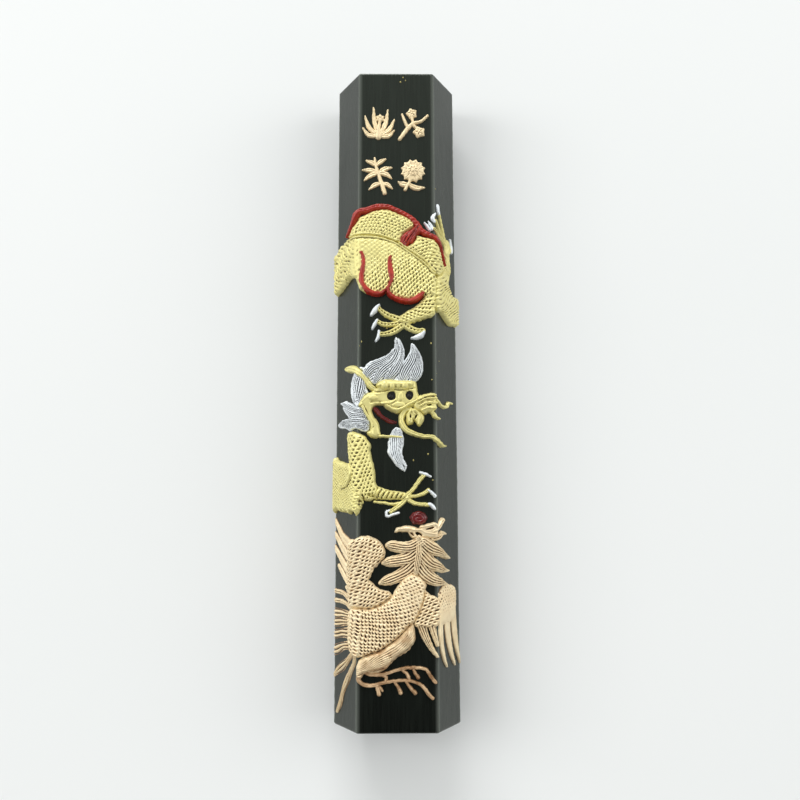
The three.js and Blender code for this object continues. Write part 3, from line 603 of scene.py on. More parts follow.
relief("plum_sprig", "pale_gold",
    stroke(0.8, (1.2, 93.2, 0.6), (4.4, 97.6, 0.75), (6.4, 99.4, 0.6), (9.4, 100.4, 0.5),
        (11.8, 102.6, 0.35)),
    stroke(0.8, (4.4, 97.6, 0.6), (3.2, 100.4, 0.5), (2.2, 103, 0.3)),
    stroke(0.8, (6.4, 99.4, 0.5), (6, 101.2, 0.5), (5.6, 103.2, 0.5)),
    stroke(0.8, (6, 99.2, 0.5), (7.4, 97.8, 0.5), (8.4, 96.2, 0.5)),
    oval(0.9, 8.6, 96, 2.4, 2.4, lobes=5, lobe_depth=0.25, petal_cut=0.35),
    oval(0.9, 5.8, 103.4, 2.2, 2.2, lobes=5, lobe_depth=0.25, petal_cut=0.35),
    oval(1.2, 8.6, 96, 0.6, 0.6),
    oval(1.2, 5.8, 103.4, 0.55, 0.55))

relief("orchid_sprig", "pale_gold",
    leaves(0.75, (-6.6, 94.4),
        [(-12.6, 97.6, 1.4), (-11.8, 102.4, 1.2), (-8.6, 105.8, 0.6), (-3.2, 104.8, -0.8),
            (-0.8, 101, -1.2), (-0.8, 96.6, -1.2)],
         0.85),
    stroke(0.85, (-6.8, 94.2, 1.2), (-6.6, 97.6, 0.6), (-6.2, 100.6, 0.5)),
    oval(0.95, -6.1, 101.4, 1.8, 1.8, lobes=6, lobe_depth=0.3, petal_cut=0.3))

relief("bamboo_sprig", "pale_gold",
    stroke(0.85, (-4.4, 71.9, 0.75), (-5.4, 75.2, 0.7), (-6.6, 78.8, 0.6), (-7.6, 82.4, 0.5),
        (-8.2, 85.6, 0.3)),
    leaves(0.75, (-6.8, 79.6),
        [(-12.6, 80.8, -0.6), (-12, 76.8, -0.6), (-1.8, 81.8, 0.6), (-1.8, 77.6, 0.8)],
         0.95),
    leaves(0.75, (-7.6, 82.6), [(-11.4, 84.6, -0.3), (-4, 85.2, 0.3)], 0.85),
    leaves(0.75, (-5.6, 75.8), [(-10.2, 73.2, -0.5), (-1.6, 73.6, 0.5)], 0.85))

relief("chrysanthemum_sprig", "pale_gold",
    oval(0.75, 6.2, 80.6, 4.7, 4.7, lobes=12, lobe_depth=0.16, petal_cut=0.35),
    oval(1.05, 6.2, 80.6, 2.6, 2.6, lobes=8, lobe_depth=0.16, petal_cut=0.35),
    oval(1.3, 6.2, 80.6, 0.9, 0.9),
    stroke(0.75, (6.2, 80.6, 0.5), (5, 76.6, 0.5), (3.2, 73.2, 0.5)),
    leaves(0.75, (4.4, 75.4), [(10.4, 74, -0.8), (0.8, 76.2, 0.5)], 1.05))


# ---- Dragon: coils and fins ----

def belly_skin(u, v, depth):
    """Scales hang down the middle of the belly and turn into cords where it wraps round the side."""
    def deeper(u, v):
        return 0.28 + 0.8 * ramp(58 - v + 0.5 * u, 5, 22)
    down = [(-5, 57), (-5, 44), (-3, 28)]
    round_side = [(-31, 54), (-24, 48.7), (-14, 41.2)]
    hanging = pitted(down, 1.6, 1.05, 0.56, 0.19, 0.6, -0.35, 5, deeper)(u, v, depth)
    corded = combed(round_side, 1.75, 0.55, 8)(u, v, depth)
    corded = corded + pitted(round_side, 2.1, 1.3, 0.6, 0.2, 0.35, 0, 9)(u, v, depth)
    share = ramp(u, -16.5, -13.5)
    return share * hanging + (1 - share) * corded


relief("coil_back", "dragon_gold",
    blob(1.75, (-18.8, 55.9), (-16.3, 58), (-14.1, 60.5), (-13.5, 62), (-11, 63.4), (-8.8, 64.5),
        (-4, 65.2), (0, 64), (3.5, 62.3), (5.6, 61), (6.5, 60.1), (6.4, 58), (4.9, 56.9), (2.2, 54.9),
        (1.3, 52.2), (-4, 53.6), (-9.6, 54.5), (-14, 54.8), edge=1.5, crown=0.6, crown_width=5,
        pattern=pitted([(-21, 56), (-12, 59), (-4, 58.5), (5, 54)], 1.35, 1.15, 0.46, 0.2, 0.45, 0.6, 1)),
    stroke(2.35, (-17, 55.6, 0.5), (-14, 55.6, 0.55), (-8, 55.4, 0.55), (-4, 54.5, 0.5), (0, 53, 0.45)))

relief("coil_shoulder", "dragon_gold",
    blob(1.75, (7.5, 55.1), (10.8, 54.3), (13.4, 53.6), (14.9, 51.3), (16.1, 48), (17.4, 45.7),
        (18.7, 44.2), (17, 41.4), (14.5, 39.8), (13, 41.5), (11, 44), (8, 46.5), (5, 49), (2.6, 50.2),
        (5, 51.7), (6.7, 53.2), edge=1.3, crown=0.5, crown_width=5,
        pattern=pitted([(2, 53), (9, 49.5), (15, 42)], 1.4, 1.1, 0.5, 0.2, 0.42, 0.9, 3)),
    stroke(2.4, (1, 52, 0.45), (4, 49.9, 0.5), (8, 47.2, 0.5), (11, 44.8, 0.5), (13.4, 41.4, 0.45)))

relief("coil_wrap_right", "dragon_gold",
    blob(1.9, (14, 39.5), (16.5, 42), (19.2, 43.9), (20.5, 41.5), (22, 39), (24.3, 36.2), (26.1, 35.3),
        (30.9, 34.4), (30.9, 25), (28.2, 24.1), (24.3, 23.5), (21.3, 24.5), (18.7, 25.8), (16.4, 26.9),
        (14.2, 26.6), (13.4, 30), (13.4, 36.2), edge=1.3, crown=0.4, crown_width=5,
        pattern=combed([(12, 24), (21, 31.5), (31, 38.5)], 1.15, 0.5, 14)))

relief("coil_belly", "dragon_gold",
    blob(1.8, (-18.8, 55.7), (-20.8, 55.4), (-23.6, 54.5), (-25.6, 54.7), (-28.1, 52.5), (-30.9, 51.4),
        (-30.9, 37.4), (-28.1, 36.8), (-25.6, 37.4), (-20, 39.6), (-18, 40.2), (-16.3, 39.8),
        (-14.6, 38.8), (-13.9, 36.6), (-13.2, 34.6), (-10, 33), (-7.4, 32.6), (-4, 33.4), (-2, 32),
        (0, 31), (5.6, 30.6), (10.2, 32), (13.8, 32), (14.2, 36), (14.2, 39.4), (12.8, 41.4), (11, 43.8),
        (8, 46.3), (5, 48.8), (2.2, 50.4), (0, 52.2), (-4, 53.5), (-8, 54.3), (-14, 54.6), edge=1.5,
        crown=0.75, crown_width=7, pattern=belly_skin),
    stroke(2.35, (-18, 54.5, 0.4), (-14, 54.4, 0.5), (-8, 54.1, 0.5), (-4, 53.2, 0.5), (0, 51.6, 0.45),
        (4, 48.8, 0.45), (8, 46, 0.45), (11, 43.5, 0.45), (13.2, 40.6, 0.4)))

relief("dorsal_fin", "red_lacquer",
    stroke(2.3, (-20, 56.4, 0.3), (-17.9, 58.6, 0.8), (-15.6, 61.2, 0.95), (-13.7, 64.2, 1.1),
        (-11, 64.9, 1.15), (-7.8, 66, 1.2), (-4, 66.2, 1.05), (-1.4, 65.4, 0.95), (2, 63.8, 0.9),
        (5, 62, 0.95), (7.2, 59.6, 1.3), (9.4, 56.7, 1.1), (13.2, 54.7, 0.8), (15.2, 52, 0.5),
        (16.8, 49, 0.45), (18.8, 45, 0.25), groove=0.2, beads=0.12),
    blob(2.5, (8.4, 59.2), (6.4, 58.4), (4.9, 57.2), (3.4, 56.4), (2, 55.2), (1.3, 53.8), (1.1, 51.9),
        (1.9, 50.3), (2.9, 49.9), (3.7, 50.8), (5, 51.9), (5.5, 51.4), (6.2, 52.2), (6.8, 53.4),
        (7.6, 55.1), (9, 56.4), edge=1.1,
        pattern=stranded([(1, 56), (4, 54.5), (8, 52)], 1.05, 0.5, 30, 0.15)),
    stroke(2.9, (2.6, 51.6, 0.3), (4.2, 54, 0.35), (6.4, 57, 0.35), (7.8, 58.8, 0.3)))

relief("belly_flame_left", "red_lacquer",
    stroke(3.1, (-12.7, 48.3, 0.5), (-12.2, 46.4, 0.85), (-12.1, 43.6, 1), (-12.4, 41, 0.9),
        (-12.6, 38.4, 0.8), (-12.2, 36.2, 0.85), (-10.8, 34.4, 1), (-8.8, 33.3, 0.85), (-7, 32.9, 0.7),
        (-5.4, 33.2, 0.6), (-4.1, 34.2, 0.4), groove=0.22))

relief("belly_flame_middle", "red_lacquer",
    stroke(3.2, (-2.3, 46.6, 0.6), (-2.6, 45, 1), (-2.4, 42.4, 1.4), (-2.1, 40.4, 1.6), (-1.9, 38.4, 1.1),
        (-2.4, 36.6, 0.75), (-3.2, 34.9, 0.75), (-3.1, 33.5, 0.7), (-1.8, 32.1, 0.75), (0.2, 31, 0.7),
        (2.4, 30.3, 0.75), (4.8, 30.2, 0.85), (6.8, 30.9, 1.05), (8.6, 32.2, 1.1), (9.7, 33.1, 0.5),
        groove=0.25))


# ---- Dragon: legs and claws ----

relief("hind_leg", "dragon_gold",
    blob(1.6, (13.8, 33.6), (14, 30), (13.8, 26.3), (12.9, 24.6), (10.5, 23.8), (7.5, 22.8), (4.9, 21.9),
        (2.4, 21.6), (0.9, 22.6), (1, 24.6), (2.2, 25.4), (3.7, 26.6), (6, 27.8), (7.5, 29), (9.4, 31),
        (10.6, 33), (12.4, 34), edge=1.2, crown=0.35, crown_width=3,
        pattern=pitted([(13, 36), (9.4, 27.4), (0, 22)], 1.6, 1.0, 0.6, 0.2, 0.6, -0.45, 17)),
    stroke(1.75, (13, 25.6, 0.5), (9, 24.2, 0.55), (5, 22.8, 0.5)),
    stroke(1.5, (2.2, 22.9, 1.3), (-1, 24.2, 1.1), (-3.5, 25.2, 1), (-5.8, 26.9, 0.8), (-6.6, 28, 0.6),
        groove=0.95, dashes=0.6),
    stroke(1.4, (1.6, 22.2, 1.1), (-2.5, 21.6, 0.8), (-5, 21.8, 0.8), (-6.9, 22.7, 0.7), groove=0.9,
        dashes=0.6),
    stroke(1.5, (2.2, 21.4, 1.2), (-0.5, 19.5, 1.1), (-3, 18.4, 0.9), (-6, 18, 0.7), groove=0.95,
        dashes=0.6),
    stroke(1.5, (2.5, 21.8, 1.2), (5.5, 19.9, 1.1), (8, 19.3, 0.9), (9.8, 19.6, 0.6), groove=0.95,
        dashes=0.6))

relief("rear_leg", "dragon_gold",
    blob(1, (19.2, 43.6), (20.9, 46.9), (21.7, 48.3), (21.1, 49.8), (21, 52), (21.2, 54.4), (22.4, 56.2),
        (23.6, 56.6), (24.8, 55.4), (26.4, 53.4), (26.2, 52), (24.9, 51), (24.8, 49.1), (25.4, 46.9),
        (25.8, 44.2), (24.8, 42.4), (24.3, 40.5), (22.8, 37.8), (21, 38.5), (19.5, 41), edge=1.2,
        crown=0.2, crown_width=2.5,
        pattern=combed([(18, 38), (23.5, 48), (16, 63)], 1.1, 0.42, 19)),
    stroke(0.9, (17.1, 64.4, 0.6), (19, 60.6, 0.8), (20.8, 57, 0.8), (22.6, 53.2, 1), groove=0.6),
    stroke(0.9, (14.5, 61.4, 0.6), (16.4, 59.2, 0.7), (18.8, 57.2, 0.7), (21.4, 55.2, 0.8), groove=0.6),
    stroke(0.9, (13.8, 58, 0.6), (16.4, 56.4, 0.7), (19, 55.2, 0.7), (21.6, 53.8, 0.8), groove=0.6))

CLAWS = {
    "hind_claw_1": [(-6.4, 28.9, 0.35), (-7.2, 27.9, 0.8), (-8.2, 26.6, 0.85), (-9.3, 25.2, 0.4)],
    "hind_claw_2": [(-7.1, 23.3, 0.4), (-7.9, 22, 0.65), (-8.5, 20.9, 0.5), (-8.9, 20, 0.2)],
    "hind_claw_3": [(-6.5, 19.2, 0.4), (-6.5, 18, 0.5), (-6.9, 16.7, 0.5), (-7.6, 15.5, 0.2)],
    "hind_claw_4": [(9.8, 18.9, 0.4), (8.9, 17.7, 0.9), (7.4, 17, 0.85), (5.4, 16.5, 0.25)],
    "rear_claw_1": [(17, 64.8, 0.8), (16.4, 66.2, 1.1), (16.2, 67.6, 0.8)],
    "rear_claw_2": [(13.9, 60.9, 0.5), (13.3, 62.3, 0.7), (14.3, 64.2, 0.2)],
    "rear_claw_3": [(12.2, 57.2, 0.4), (11.6, 58.4, 0.6), (10.3, 60.1, 0.2)],
    "rear_claw_4": [(13.1, 57.6, 0.35), (12.8, 59, 0.55), (11.8, 60.8, 0.2)],
    "rear_claw_5": [(26.2, 57.6, 0.25), (26.6, 56, 0.7), (27.4, 54.2, 1), (27.4, 52.8, 0.6)],
    "fore_claw_1": [(8.1, -31.9, 0.3), (9.2, -32.4, 0.5), (10.4, -32.7, 0.5), (11.9, -33.5, 0.2)],
    "fore_claw_2": [(10.9, -38.1, 0.3), (12, -38.9, 0.45), (13, -40, 0.45), (13.2, -40.6, 0.2)],
    "fore_claw_3": [(11, -43, 0.5), (12.2, -43.6, 0.65), (13.1, -44.8, 0.3)],
    "fore_claw_4": [(-2.7, -45.2, 0.25), (-3.6, -45.7, 0.4), (-3.8, -46.8, 0.45), (-3, -47.3, 0.35),
                    (-1.6, -46.6, 0.4), (0.5, -46.1, 0.35)],
}
for claw, line in CLAWS.items():
    height = 0.8 if line[0][0] > HALF_FACE - 1 else 1.5
    relief(claw, "silver", stroke(height, *line))


# ---- Dragon: head ----

EYE_SOCKETS = [
    carve(1.5, (-3.6, -5.2), (-3.5, -4), (-2.6, -3.2), (-1.1, -3.1), (-0.5, -4), (-0.5, -5.5),
        (-1.6, -6.3), (-2.9, -6.2), edge=0.3),
    carve(1.5, (3, -4.4), (3.5, -3.3), (4.6, -2.9), (5.6, -3.4), (5.9, -4.6), (5.3, -5.9), (4.4, -6.3),
        (3.4, -5.6), edge=0.3),
]
relief("eye_left", "black_lacquer",
    oval(1.3, -2, -4.8, 1.95, 2, edge=0.5),
    oval(1.6, -2.2, -4.9, 0.7, 0.7, edge=0.4))

relief("eye_right", "black_lacquer",
    oval(1.3, 4.5, -4.6, 1.9, 2.15, edge=0.5),
    oval(1.6, 4.3, -4.8, 0.7, 0.7, edge=0.4))

relief("tongue", "red_lacquer",
    stroke(1.1, (-8, -9.2, 0.7), (-7.2, -9.9, 0.85), (-5.8, -11.7, 0.6), (-4, -13, 0.6),
        (-2.2, -13.9, 0.6), (-0.6, -14.1, 0.4), groove=0.2),
     material="dark_red_lacquer")

relief("brow", "dragon_gold",
    stroke(2.85, (-6.6, -1, 0.9), (-5.4, -0.6, 1.4), (-3.4, -0.5, 1.7), (-1.4, -0.5, 1.6),
        (0.6, -0.5, 1.4), (2.6, -0.5, 1.5), (5.2, -0.5, 1), round_=1.2),
    oval(3.3, -4.4, -0.9, 1.8, 2.1, edge=1.7),
    oval(3, -1.7, -1.1, 1.3, 1.9, edge=1.3),
    oval(2.8, 0.5, -0.8, 1.1, 1.7, edge=1.1),
    oval(3.15, 2.9, -1, 1.7, 1.9, edge=1.6),
    oval(2.7, 5.1, -0.4, 0.9, 1.3, edge=0.9))

relief("horn", "dragon_gold",
    stroke(1.9, (-20.5, 6.1, 0.9), (-18.8, 5.9, 1.3), (-16.6, 5.6, 1.3), (-14.6, 4.9, 1.1),
        (-12.9, 3.2, 1), (-11.2, 1.1, 1), (-9.8, -0.8, 1), (-8, -2.2, 0.8), (-6.4, -2.6, 0.5), groove=0.3))

relief("snout", "dragon_gold",
    blob(1.9, (7.8, -4.6), (9, -4.3), (10.9, -3.8), (13.3, -3.6), (13.5, -5.2), (13.8, -8.6),
        (13.3, -9.8), (11.2, -10.7), (9.7, -11.3), (8, -10.4), (6.6, -9.6), (5.8, -7.6), edge=1,
        crown=0.3, crown_width=2),
    stroke(2.7, (7.6, -6.2, 0.3), (10.2, -4.9, 0.4), (13.2, -4.4, 0.4)),
    stroke(2.6, (7.2, -7.4, 0.35), (10.2, -5.9, 0.4), (13.3, -5.6, 0.4)),
    stroke(2.6, (8, -8.6, 0.4), (10.4, -7.3, 0.5), (13.3, -7.2, 0.5)),
    stroke(2.5, (8.8, -10, 0.4), (11, -9.1, 0.5), (13.2, -9.1, 0.4)),
    blob(2.1, (5, -8.9), (7.4, -9.8), (9.3, -11.4), (9.6, -13.2), (8.6, -15), (7.8, -15.5), (6.9, -14.4),
        (5.9, -13.3), (5.7, -14.4), (4.7, -14.9), (3.5, -14.6), (3.2, -12), (4, -10), edge=0.9),
    stroke(2.45, (5, -9.9, 0.5), (4.2, -11.6, 0.6), (4.3, -13.8, 0.5)),
    stroke(2.6, (6.2, -9.8, 0.5), (7.8, -11.4, 0.7), (7.9, -13.4, 0.7), (7.6, -14.8, 0.35)),
    stroke(2.45, (5.6, -10.2, 0.4), (6.1, -11.4, 0.4)),
    stroke(1.3, (12.2, -10.2, 0.7), (13, -11.2, 0.7), (13.6, -12.2, 0.6), (14.9, -12.8, 0.2)),
    carvings=[
        carve(0.9, (6.1, -13.2), (6.4, -11.9), (7.2, -11.5), (6.9, -12.7), edge=0.35),
        carve(0.7, (4.6, -12.8), (4.4, -11.8), (4.9, -11.4), (5.2, -12.4), edge=0.35),
        carve(1.1, (10.6, -7.9), (12.2, -7.7), (12.2, -8.3), (10.8, -8.4), edge=0.35)])

relief("lower_whisker", "dragon_gold",
    stroke(1.9, (5, -9.3, 0.5), (3.2, -9.8, 0.9), (1.9, -11.6, 1.05), (1.6, -13.6, 1), (2.2, -15.4, 1),
        (3.6, -17, 0.95), (6.2, -18.2, 0.8), (9.3, -19.1, 0.7), (12.4, -19.3, 0.7), (13.8, -20.5, 0.6),
        (15.7, -22.1, 0.5), (18.1, -22.3, 0.35), groove=0.35))

relief("upper_whisker", "dragon_gold",
    stroke(1.1, (13.3, -4.6, 0.5), (14, -6, 0.5), (16, -7.5, 0.5), (19, -8, 0.5), (21.7, -7.5, 0.5),
        (22.5, -6.3, 0.5), (23.8, -5.9, 0.45), (25.3, -6, 0.3)))

relief("chin_bar", "dragon_gold", stroke(1.5, (-6.8, -19, 0.45), (-2.4, -19.2, 0.4), (1.5, -19.4, 0.35)))

relief("dragon_head", "dragon_gold",
    blob(1.65, (-10, -3.4), (-11.8, -4.6), (-13.1, -6.5), (-13.4, -8.3), (-12.1, -8.6), (-12, -9.8),
        (-11.2, -11.4), (-10, -13.5), (-9.4, -15), (-9.8, -16.9), (-10.6, -17.8), (-10, -18.9),
        (-8.1, -19.8), (-6, -18.8), (-6.2, -16.9), (-6.5, -14.7), (-7.1, -13.5), (-8.1, -12.4),
        (-8.8, -11.2), (-8.9, -10), (-8.5, -8.6), (-7.5, -8.1), (-6.3, -8), (-4.9, -8.1), (-4.2, -8.9),
        (-2.6, -10), (-0.8, -10.7), (0.4, -10.9), (1.7, -10.3), (3.2, -9.4), (5, -8.7), (8, -7),
        (7.8, -4.6), (7.2, -2.5), (6.5, 0.6), (2.9, 1), (0.4, 1.1), (-2, 1.4), (-4.5, 1.4), (-5.7, 0.6),
        (-7.4, -2), edge=1.1, crown=0.35, crown_width=2.6),
    stroke(2.05, (-12.4, -6.6, 0.5), (-10.6, -5.2, 0.6), (-8.4, -4.4, 0.6), (-6, -4, 0.5)),
    stroke(2.2, (-12.2, -8.4, 0.5), (-10.6, -11.6, 0.6), (-9, -14.6, 0.5), (-8.4, -18.4, 0.5)),
    oval(2.3, 1.3, -5, 1.3, 2.4, edge=1.3),
    oval(2.5, -8.4, -5.4, 2.4, 1.3, edge=1.3),
    oval(2.35, 0.6, -7.9, 3.2, 1.3, edge=1.3),
    stroke(2.5, (-3.6, -8.2, 0.5), (-1, -9.6, 0.7), (1.4, -9.4, 0.7), (4, -7.9, 0.6), (7, -6.4, 0.5)),
    stroke(2.3, (-5.6, -7.2, 0.5), (-3.8, -7.4, 0.6), (-2, -7.1, 0.5), (-0.4, -6.2, 0.4)),
    carvings=EYE_SOCKETS + [
        carve(0.3, (-9.4, -6.4), (-7, -6.3), (-5.2, -6.7), (-5, -7.4), (-7.4, -7.4), (-9.6, -7.6)),
        carve(0.3, (-11.6, -9.6), (-10.4, -11.6), (-9.8, -11.2), (-10.8, -9.2), edge=0.6),
        carve(0.4, (-10, -3), (-6, -2.9), (-2, -2.3), (2, -2.4), (6.8, -1.6), (6.8, -2.1), (2, -3),
            (-2, -3), (-6, -3.7), (-9.6, -3.7), edge=0.35),
        carve(0.25, (-10.4, -17), (-8.4, -15.6), (-8, -16), (-9.8, -17.6), edge=0.5)])

BEARD = [
    [(-0.2, -17, 1.1), (-0.9, -20, 2), (-0.8, -24, 2.1), (0.3, -27.8, 1.5), (2.2, -31, 0.3)],
    [(0.8, -17, 0.8), (1.2, -20, 1), (0.8, -24, 0.9), (1.2, -26.8, 0.9), (3.1, -29.6, 0.3)],
]
relief("beard", "silver",
    blob(0.85, (-0.9, -17.2), (1.3, -16.8), (1.6, -18), (2.3, -19.5), (2.3, -21.4), (1.9, -23.8),
        (1.4, -25.7), (1.7, -27.2), (3, -28.4), (3.3, -29.9), (2.7, -31.5), (1.7, -30.6), (0.2, -29.9),
        (-0.7, -28.7), (-1.9, -27.2), (-3.3, -25), (-3.2, -23.2), (-3.2, -21.1), (-2.6, -19.8),
        (-1.9, -18.6), edge=0.6,
        pattern=combed([(0, -16), (-0.8, -23), (2.6, -32)], 0.72, 0.45, 51)),
    *[stroke(1.2 + 0.15 * i, *line, strands=6, round_=0.6) for i, line in enumerate(BEARD)],
     recess_scale=0.4)

MANE = {
    "mane_crest": [
        [(-12, 2.2, 1), (-9.4, 5.4, 2), (-5.6, 7.6, 1.7), (-2.6, 9.6, 1.2), (-1.2, 12.3, 0.3)],
        [(-8, 0.6, 1), (-5, 4.6, 2.2), (-1.6, 7.6, 2), (0.4, 11, 1.8), (0.4, 14.2, 1.1),
            (-0.2, 16.4, 0.3)],
        [(-3.6, 1.6, 1), (-1, 5, 2.2), (1, 8.6, 1.4), (1.7, 12.4, 0.9), (0.6, 16, 0.3)],
        [(1.4, 1, 1.3), (3, 4.4, 2.2), (5.2, 8.4, 2), (5.9, 11.6, 1.1), (5.5, 14.3, 0.3)],
        [(5.2, 0.6, 0.9), (7, 3.8, 2), (7.9, 7.4, 1.4), (7.4, 10.6, 0.9), (6, 14, 0.3)]],
    "mane_back": [
        [(-13.8, 4, 0.6), (-15.2, 0.4, 1.8), (-15.6, -3, 1.8), (-14.6, -6, 1.2), (-13.6, -7.8, 0.4)],
        [(-12.4, 3.2, 0.7), (-12.8, 0, 1.9), (-13.2, -3.2, 1.8), (-13.6, -6.4, 0.9), (-13.8, -8, 0.4)]],
    "mane_cheek": [
        [(-12.6, -10.4, 1.4), (-15.6, -9.4, 1.4), (-19, -8.2, 1.6), (-22, -6.8, 1), (-24.8, -6, 0.3)],
        [(-12, -12.2, 1.6), (-15.6, -11.4, 1.9), (-19, -10, 1.5), (-22.6, -8, 0.4)],
        [(-11.2, -14.4, 1.5), (-15, -13.6, 1.8), (-19, -13.4, 1.2), (-23, -13.2, 1), (-25.8, -13.9, 0.7)],
        [(-11.2, -16, 1.4), (-14.6, -14.8, 1.3), (-18.4, -15.2, 1.3), (-22, -14.6, 0.8),
            (-25.6, -14.4, 0.6)]],
}
HAIR_GROUND = {
    "mane_crest": blob(0.95, (-13.4, 5.8), (-11.8, 5.8), (-10.9, 6.9), (-9.4, 8), (-7.5, 8.7),
        (-5.1, 9.3), (-3.2, 10.3), (-2, 11.6), (-1.2, 12.7), (-0.6, 13.4), (-0.8, 15.6), (-0.3, 16.4),
        (0.3, 16.4), (1.4, 15.6), (2.1, 13.8), (2.3, 11.3), (2.1, 9.5), (1.9, 7.6), (2.9, 8.6),
        (4.1, 10.1), (4.9, 11.6), (5, 13.2), (5.2, 14.4), (5.8, 14.4), (6.6, 13.2), (7.8, 11.3),
        (8.7, 9.5), (9.3, 7.7), (9.2, 5.8), (8.6, 3.7), (7.5, 1.8), (6, 0.3), (0.4, 0.6), (-4.5, 1),
        (-7.8, -0.3), (-9.6, 0.9), (-11.4, 3.7), edge=0.6,
        pattern=combed([(-9, -1), (-1, 6), (0.6, 17)], 0.74, 0.45, 53)),
    "mane_back": blob(0.95, (-13.7, 3.4), (-14.9, 3.7), (-15.8, 2.4), (-16.7, 0.9), (-17.2, -0.9),
        (-17.5, -3.7), (-16.7, -5.5), (-15.2, -6.9), (-14, -8), (-13.4, -7.4), (-13.1, -5.8),
        (-11.8, -4.6), (-10.4, -3.4), (-10.8, -1.9), (-11.7, 0.6), (-12.9, 2.7), edge=0.6,
        pattern=combed([(-13, 5), (-14.6, -2), (-13.6, -9)], 0.74, 0.45, 55)),
    "mane_cheek": blob(0.95, (-24.7, -6), (-22.1, -5.4), (-21.3, -6), (-18.9, -7.1), (-16.7, -8.4),
        (-14.6, -9.2), (-13.7, -8.5), (-12.9, -9), (-12, -10.6), (-10.9, -12.6), (-9.7, -14.7),
        (-10, -16.4), (-11.2, -17.4), (-13.1, -16.9), (-14.3, -15.7), (-15.5, -15), (-17.3, -16),
        (-18.9, -16.7), (-20.7, -16), (-22.9, -15.3), (-25.6, -15.2), (-26.2, -14.1), (-25.9, -13),
        (-24.4, -12.4), (-21.9, -12.4), (-19.5, -12.7), (-19.8, -11.4), (-20.6, -10), (-22.6, -8.3),
        (-24.1, -7.1), edge=0.6,
        pattern=combed([(-9, -14), (-16, -11.6), (-27, -9)], 0.74, 0.45, 57)),
}
for lock, lines in MANE.items():
    strokes = [stroke(1.35 + 0.1 * (i % 3), *line, strands=6, round_=0.5) for i, line in enumerate(lines)]
    relief(lock, "silver", HAIR_GROUND[lock], *strokes, recess_scale=0.15)


# ---- Dragon: neck, lower coil and foreleg ----

relief("lower_coil", "dragon_gold",
    blob(1.7, (-17, -28.6), (-21.3, -28.3), (-24.3, -27.5), (-27.4, -27), (-30.9, -26.7), (-30.9, -44.4),
        (-28.6, -44.8), (-27.4, -44.2), (-26.3, -45), (-24.6, -45.6), (-23.7, -44.8), (-21.9, -45.9),
        (-20.7, -45.2), (-17.9, -46.4), (-16.7, -45.3), (-14.8, -45.9), (-14.2, -47.1), (-13.4, -46),
        (-12.7, -44.7), (-12.1, -43.4), (-12, -41), (-14, -37), (-15, -30.5), edge=1.3, crown=0.35,
        crown_width=5,
        pattern=pitted(
            [(-31, -35), (-22, -35.5), (-12, -38)],
             1.1, 0.95, 0.2, 0.42, 0.3, 0, 23, None, True)),
    stroke(2.7, (-16.4, -28.9, 0.5), (-15.4, -31.5, 0.7), (-15.8, -33.8, 0.7), (-17.4, -35.6, 0.6),
        (-19.6, -36.5, 0.5), (-22.6, -36.9, 0.3)),
    carvings=[
        carve(1.2, (-13.3, -41.2), (-12.3, -41.6), (-11.9, -43.2), (-12.3, -44.6), (-13.3, -44.4),
            (-13.7, -42.8), edge=0.6)])


def neck_skin(u, v, depth):
    pits = pitted([(-14.6, -15), (-13.4, -26), (-11, -42)], 1.3, 1.25, 0.5, 0.22, 0.55, -0.6, 27, None, True)
    return pits(u, v, depth) * ramp(depth, 0.4, 1.2)


relief("dragon_neck", "dragon_gold",
    blob(1.85, (-18.2, -17.4), (-18.8, -19.5), (-18.4, -21.7), (-18.2, -24.1), (-17.7, -26.3),
        (-17, -28.5), (-16, -32), (-15.6, -36), (-14.4, -39.5), (-11.6, -41.7), (-8.8, -41.6),
        (-7.2, -39.5), (-7, -37), (-7.6, -35.8), (-7.8, -33), (-8.2, -29.9), (-9, -26.9), (-9.5, -24.1),
        (-9.3, -22), (-10.5, -20.4), (-11.1, -19.5), (-12.4, -18.6), (-14.5, -17.7), (-17, -17.1),
        edge=1.3, crown=0.4, crown_width=4, pattern=neck_skin),
    carvings=[
        carve(1.3, (-10.5, -39.3), (-9.2, -39.3), (-7.9, -40), (-8, -40.8), (-9.4, -40.7), (-10.4, -40.1),
            edge=0.5),
        carve(0.9, (-12.4, -39.6), (-11.4, -40.4), (-11.2, -42.2), (-11.8, -42.4), (-12.2, -41), edge=0.4)])

relief("foreleg", "dragon_gold",
    stroke(1.75, (-9.5, -38.6, 2.6), (-6.5, -39.2, 2.1), (-3, -39.8, 1.6), (0.5, -40, 1.35),
        (3.4, -40.4, 1.1), beads=0.8),
    stroke(1.1, (-8, -42.2, 0.35), (-4.4, -42.6, 0.42), (-1, -43, 0.42), (2.3, -42, 0.45),
        (3.4, -41, 0.4)),
    stroke(1.4, (3.2, -40.2, 0.9), (4.8, -38.7, 0.6), (6.4, -36.8, 0.6), (8, -34.5, 0.65),
        (9.5, -32.9, 0.7), groove=0.3),
    stroke(1.3, (3.4, -40.3, 0.8), (6, -40.3, 0.5), (8.2, -39.8, 0.5), (10, -38.9, 0.6), (11, -38.1, 0.6),
        groove=0.25),
    stroke(1.4, (3.4, -41, 0.8), (5.4, -42.4, 0.65), (8, -43.1, 0.6), (11, -43.2, 0.65), groove=0.3,
        dashes=0.5),
    stroke(1.4, (3.3, -41, 0.8), (1.8, -42.6, 0.75), (0, -44, 0.75), (-2.4, -45.6, 0.65), groove=0.35))


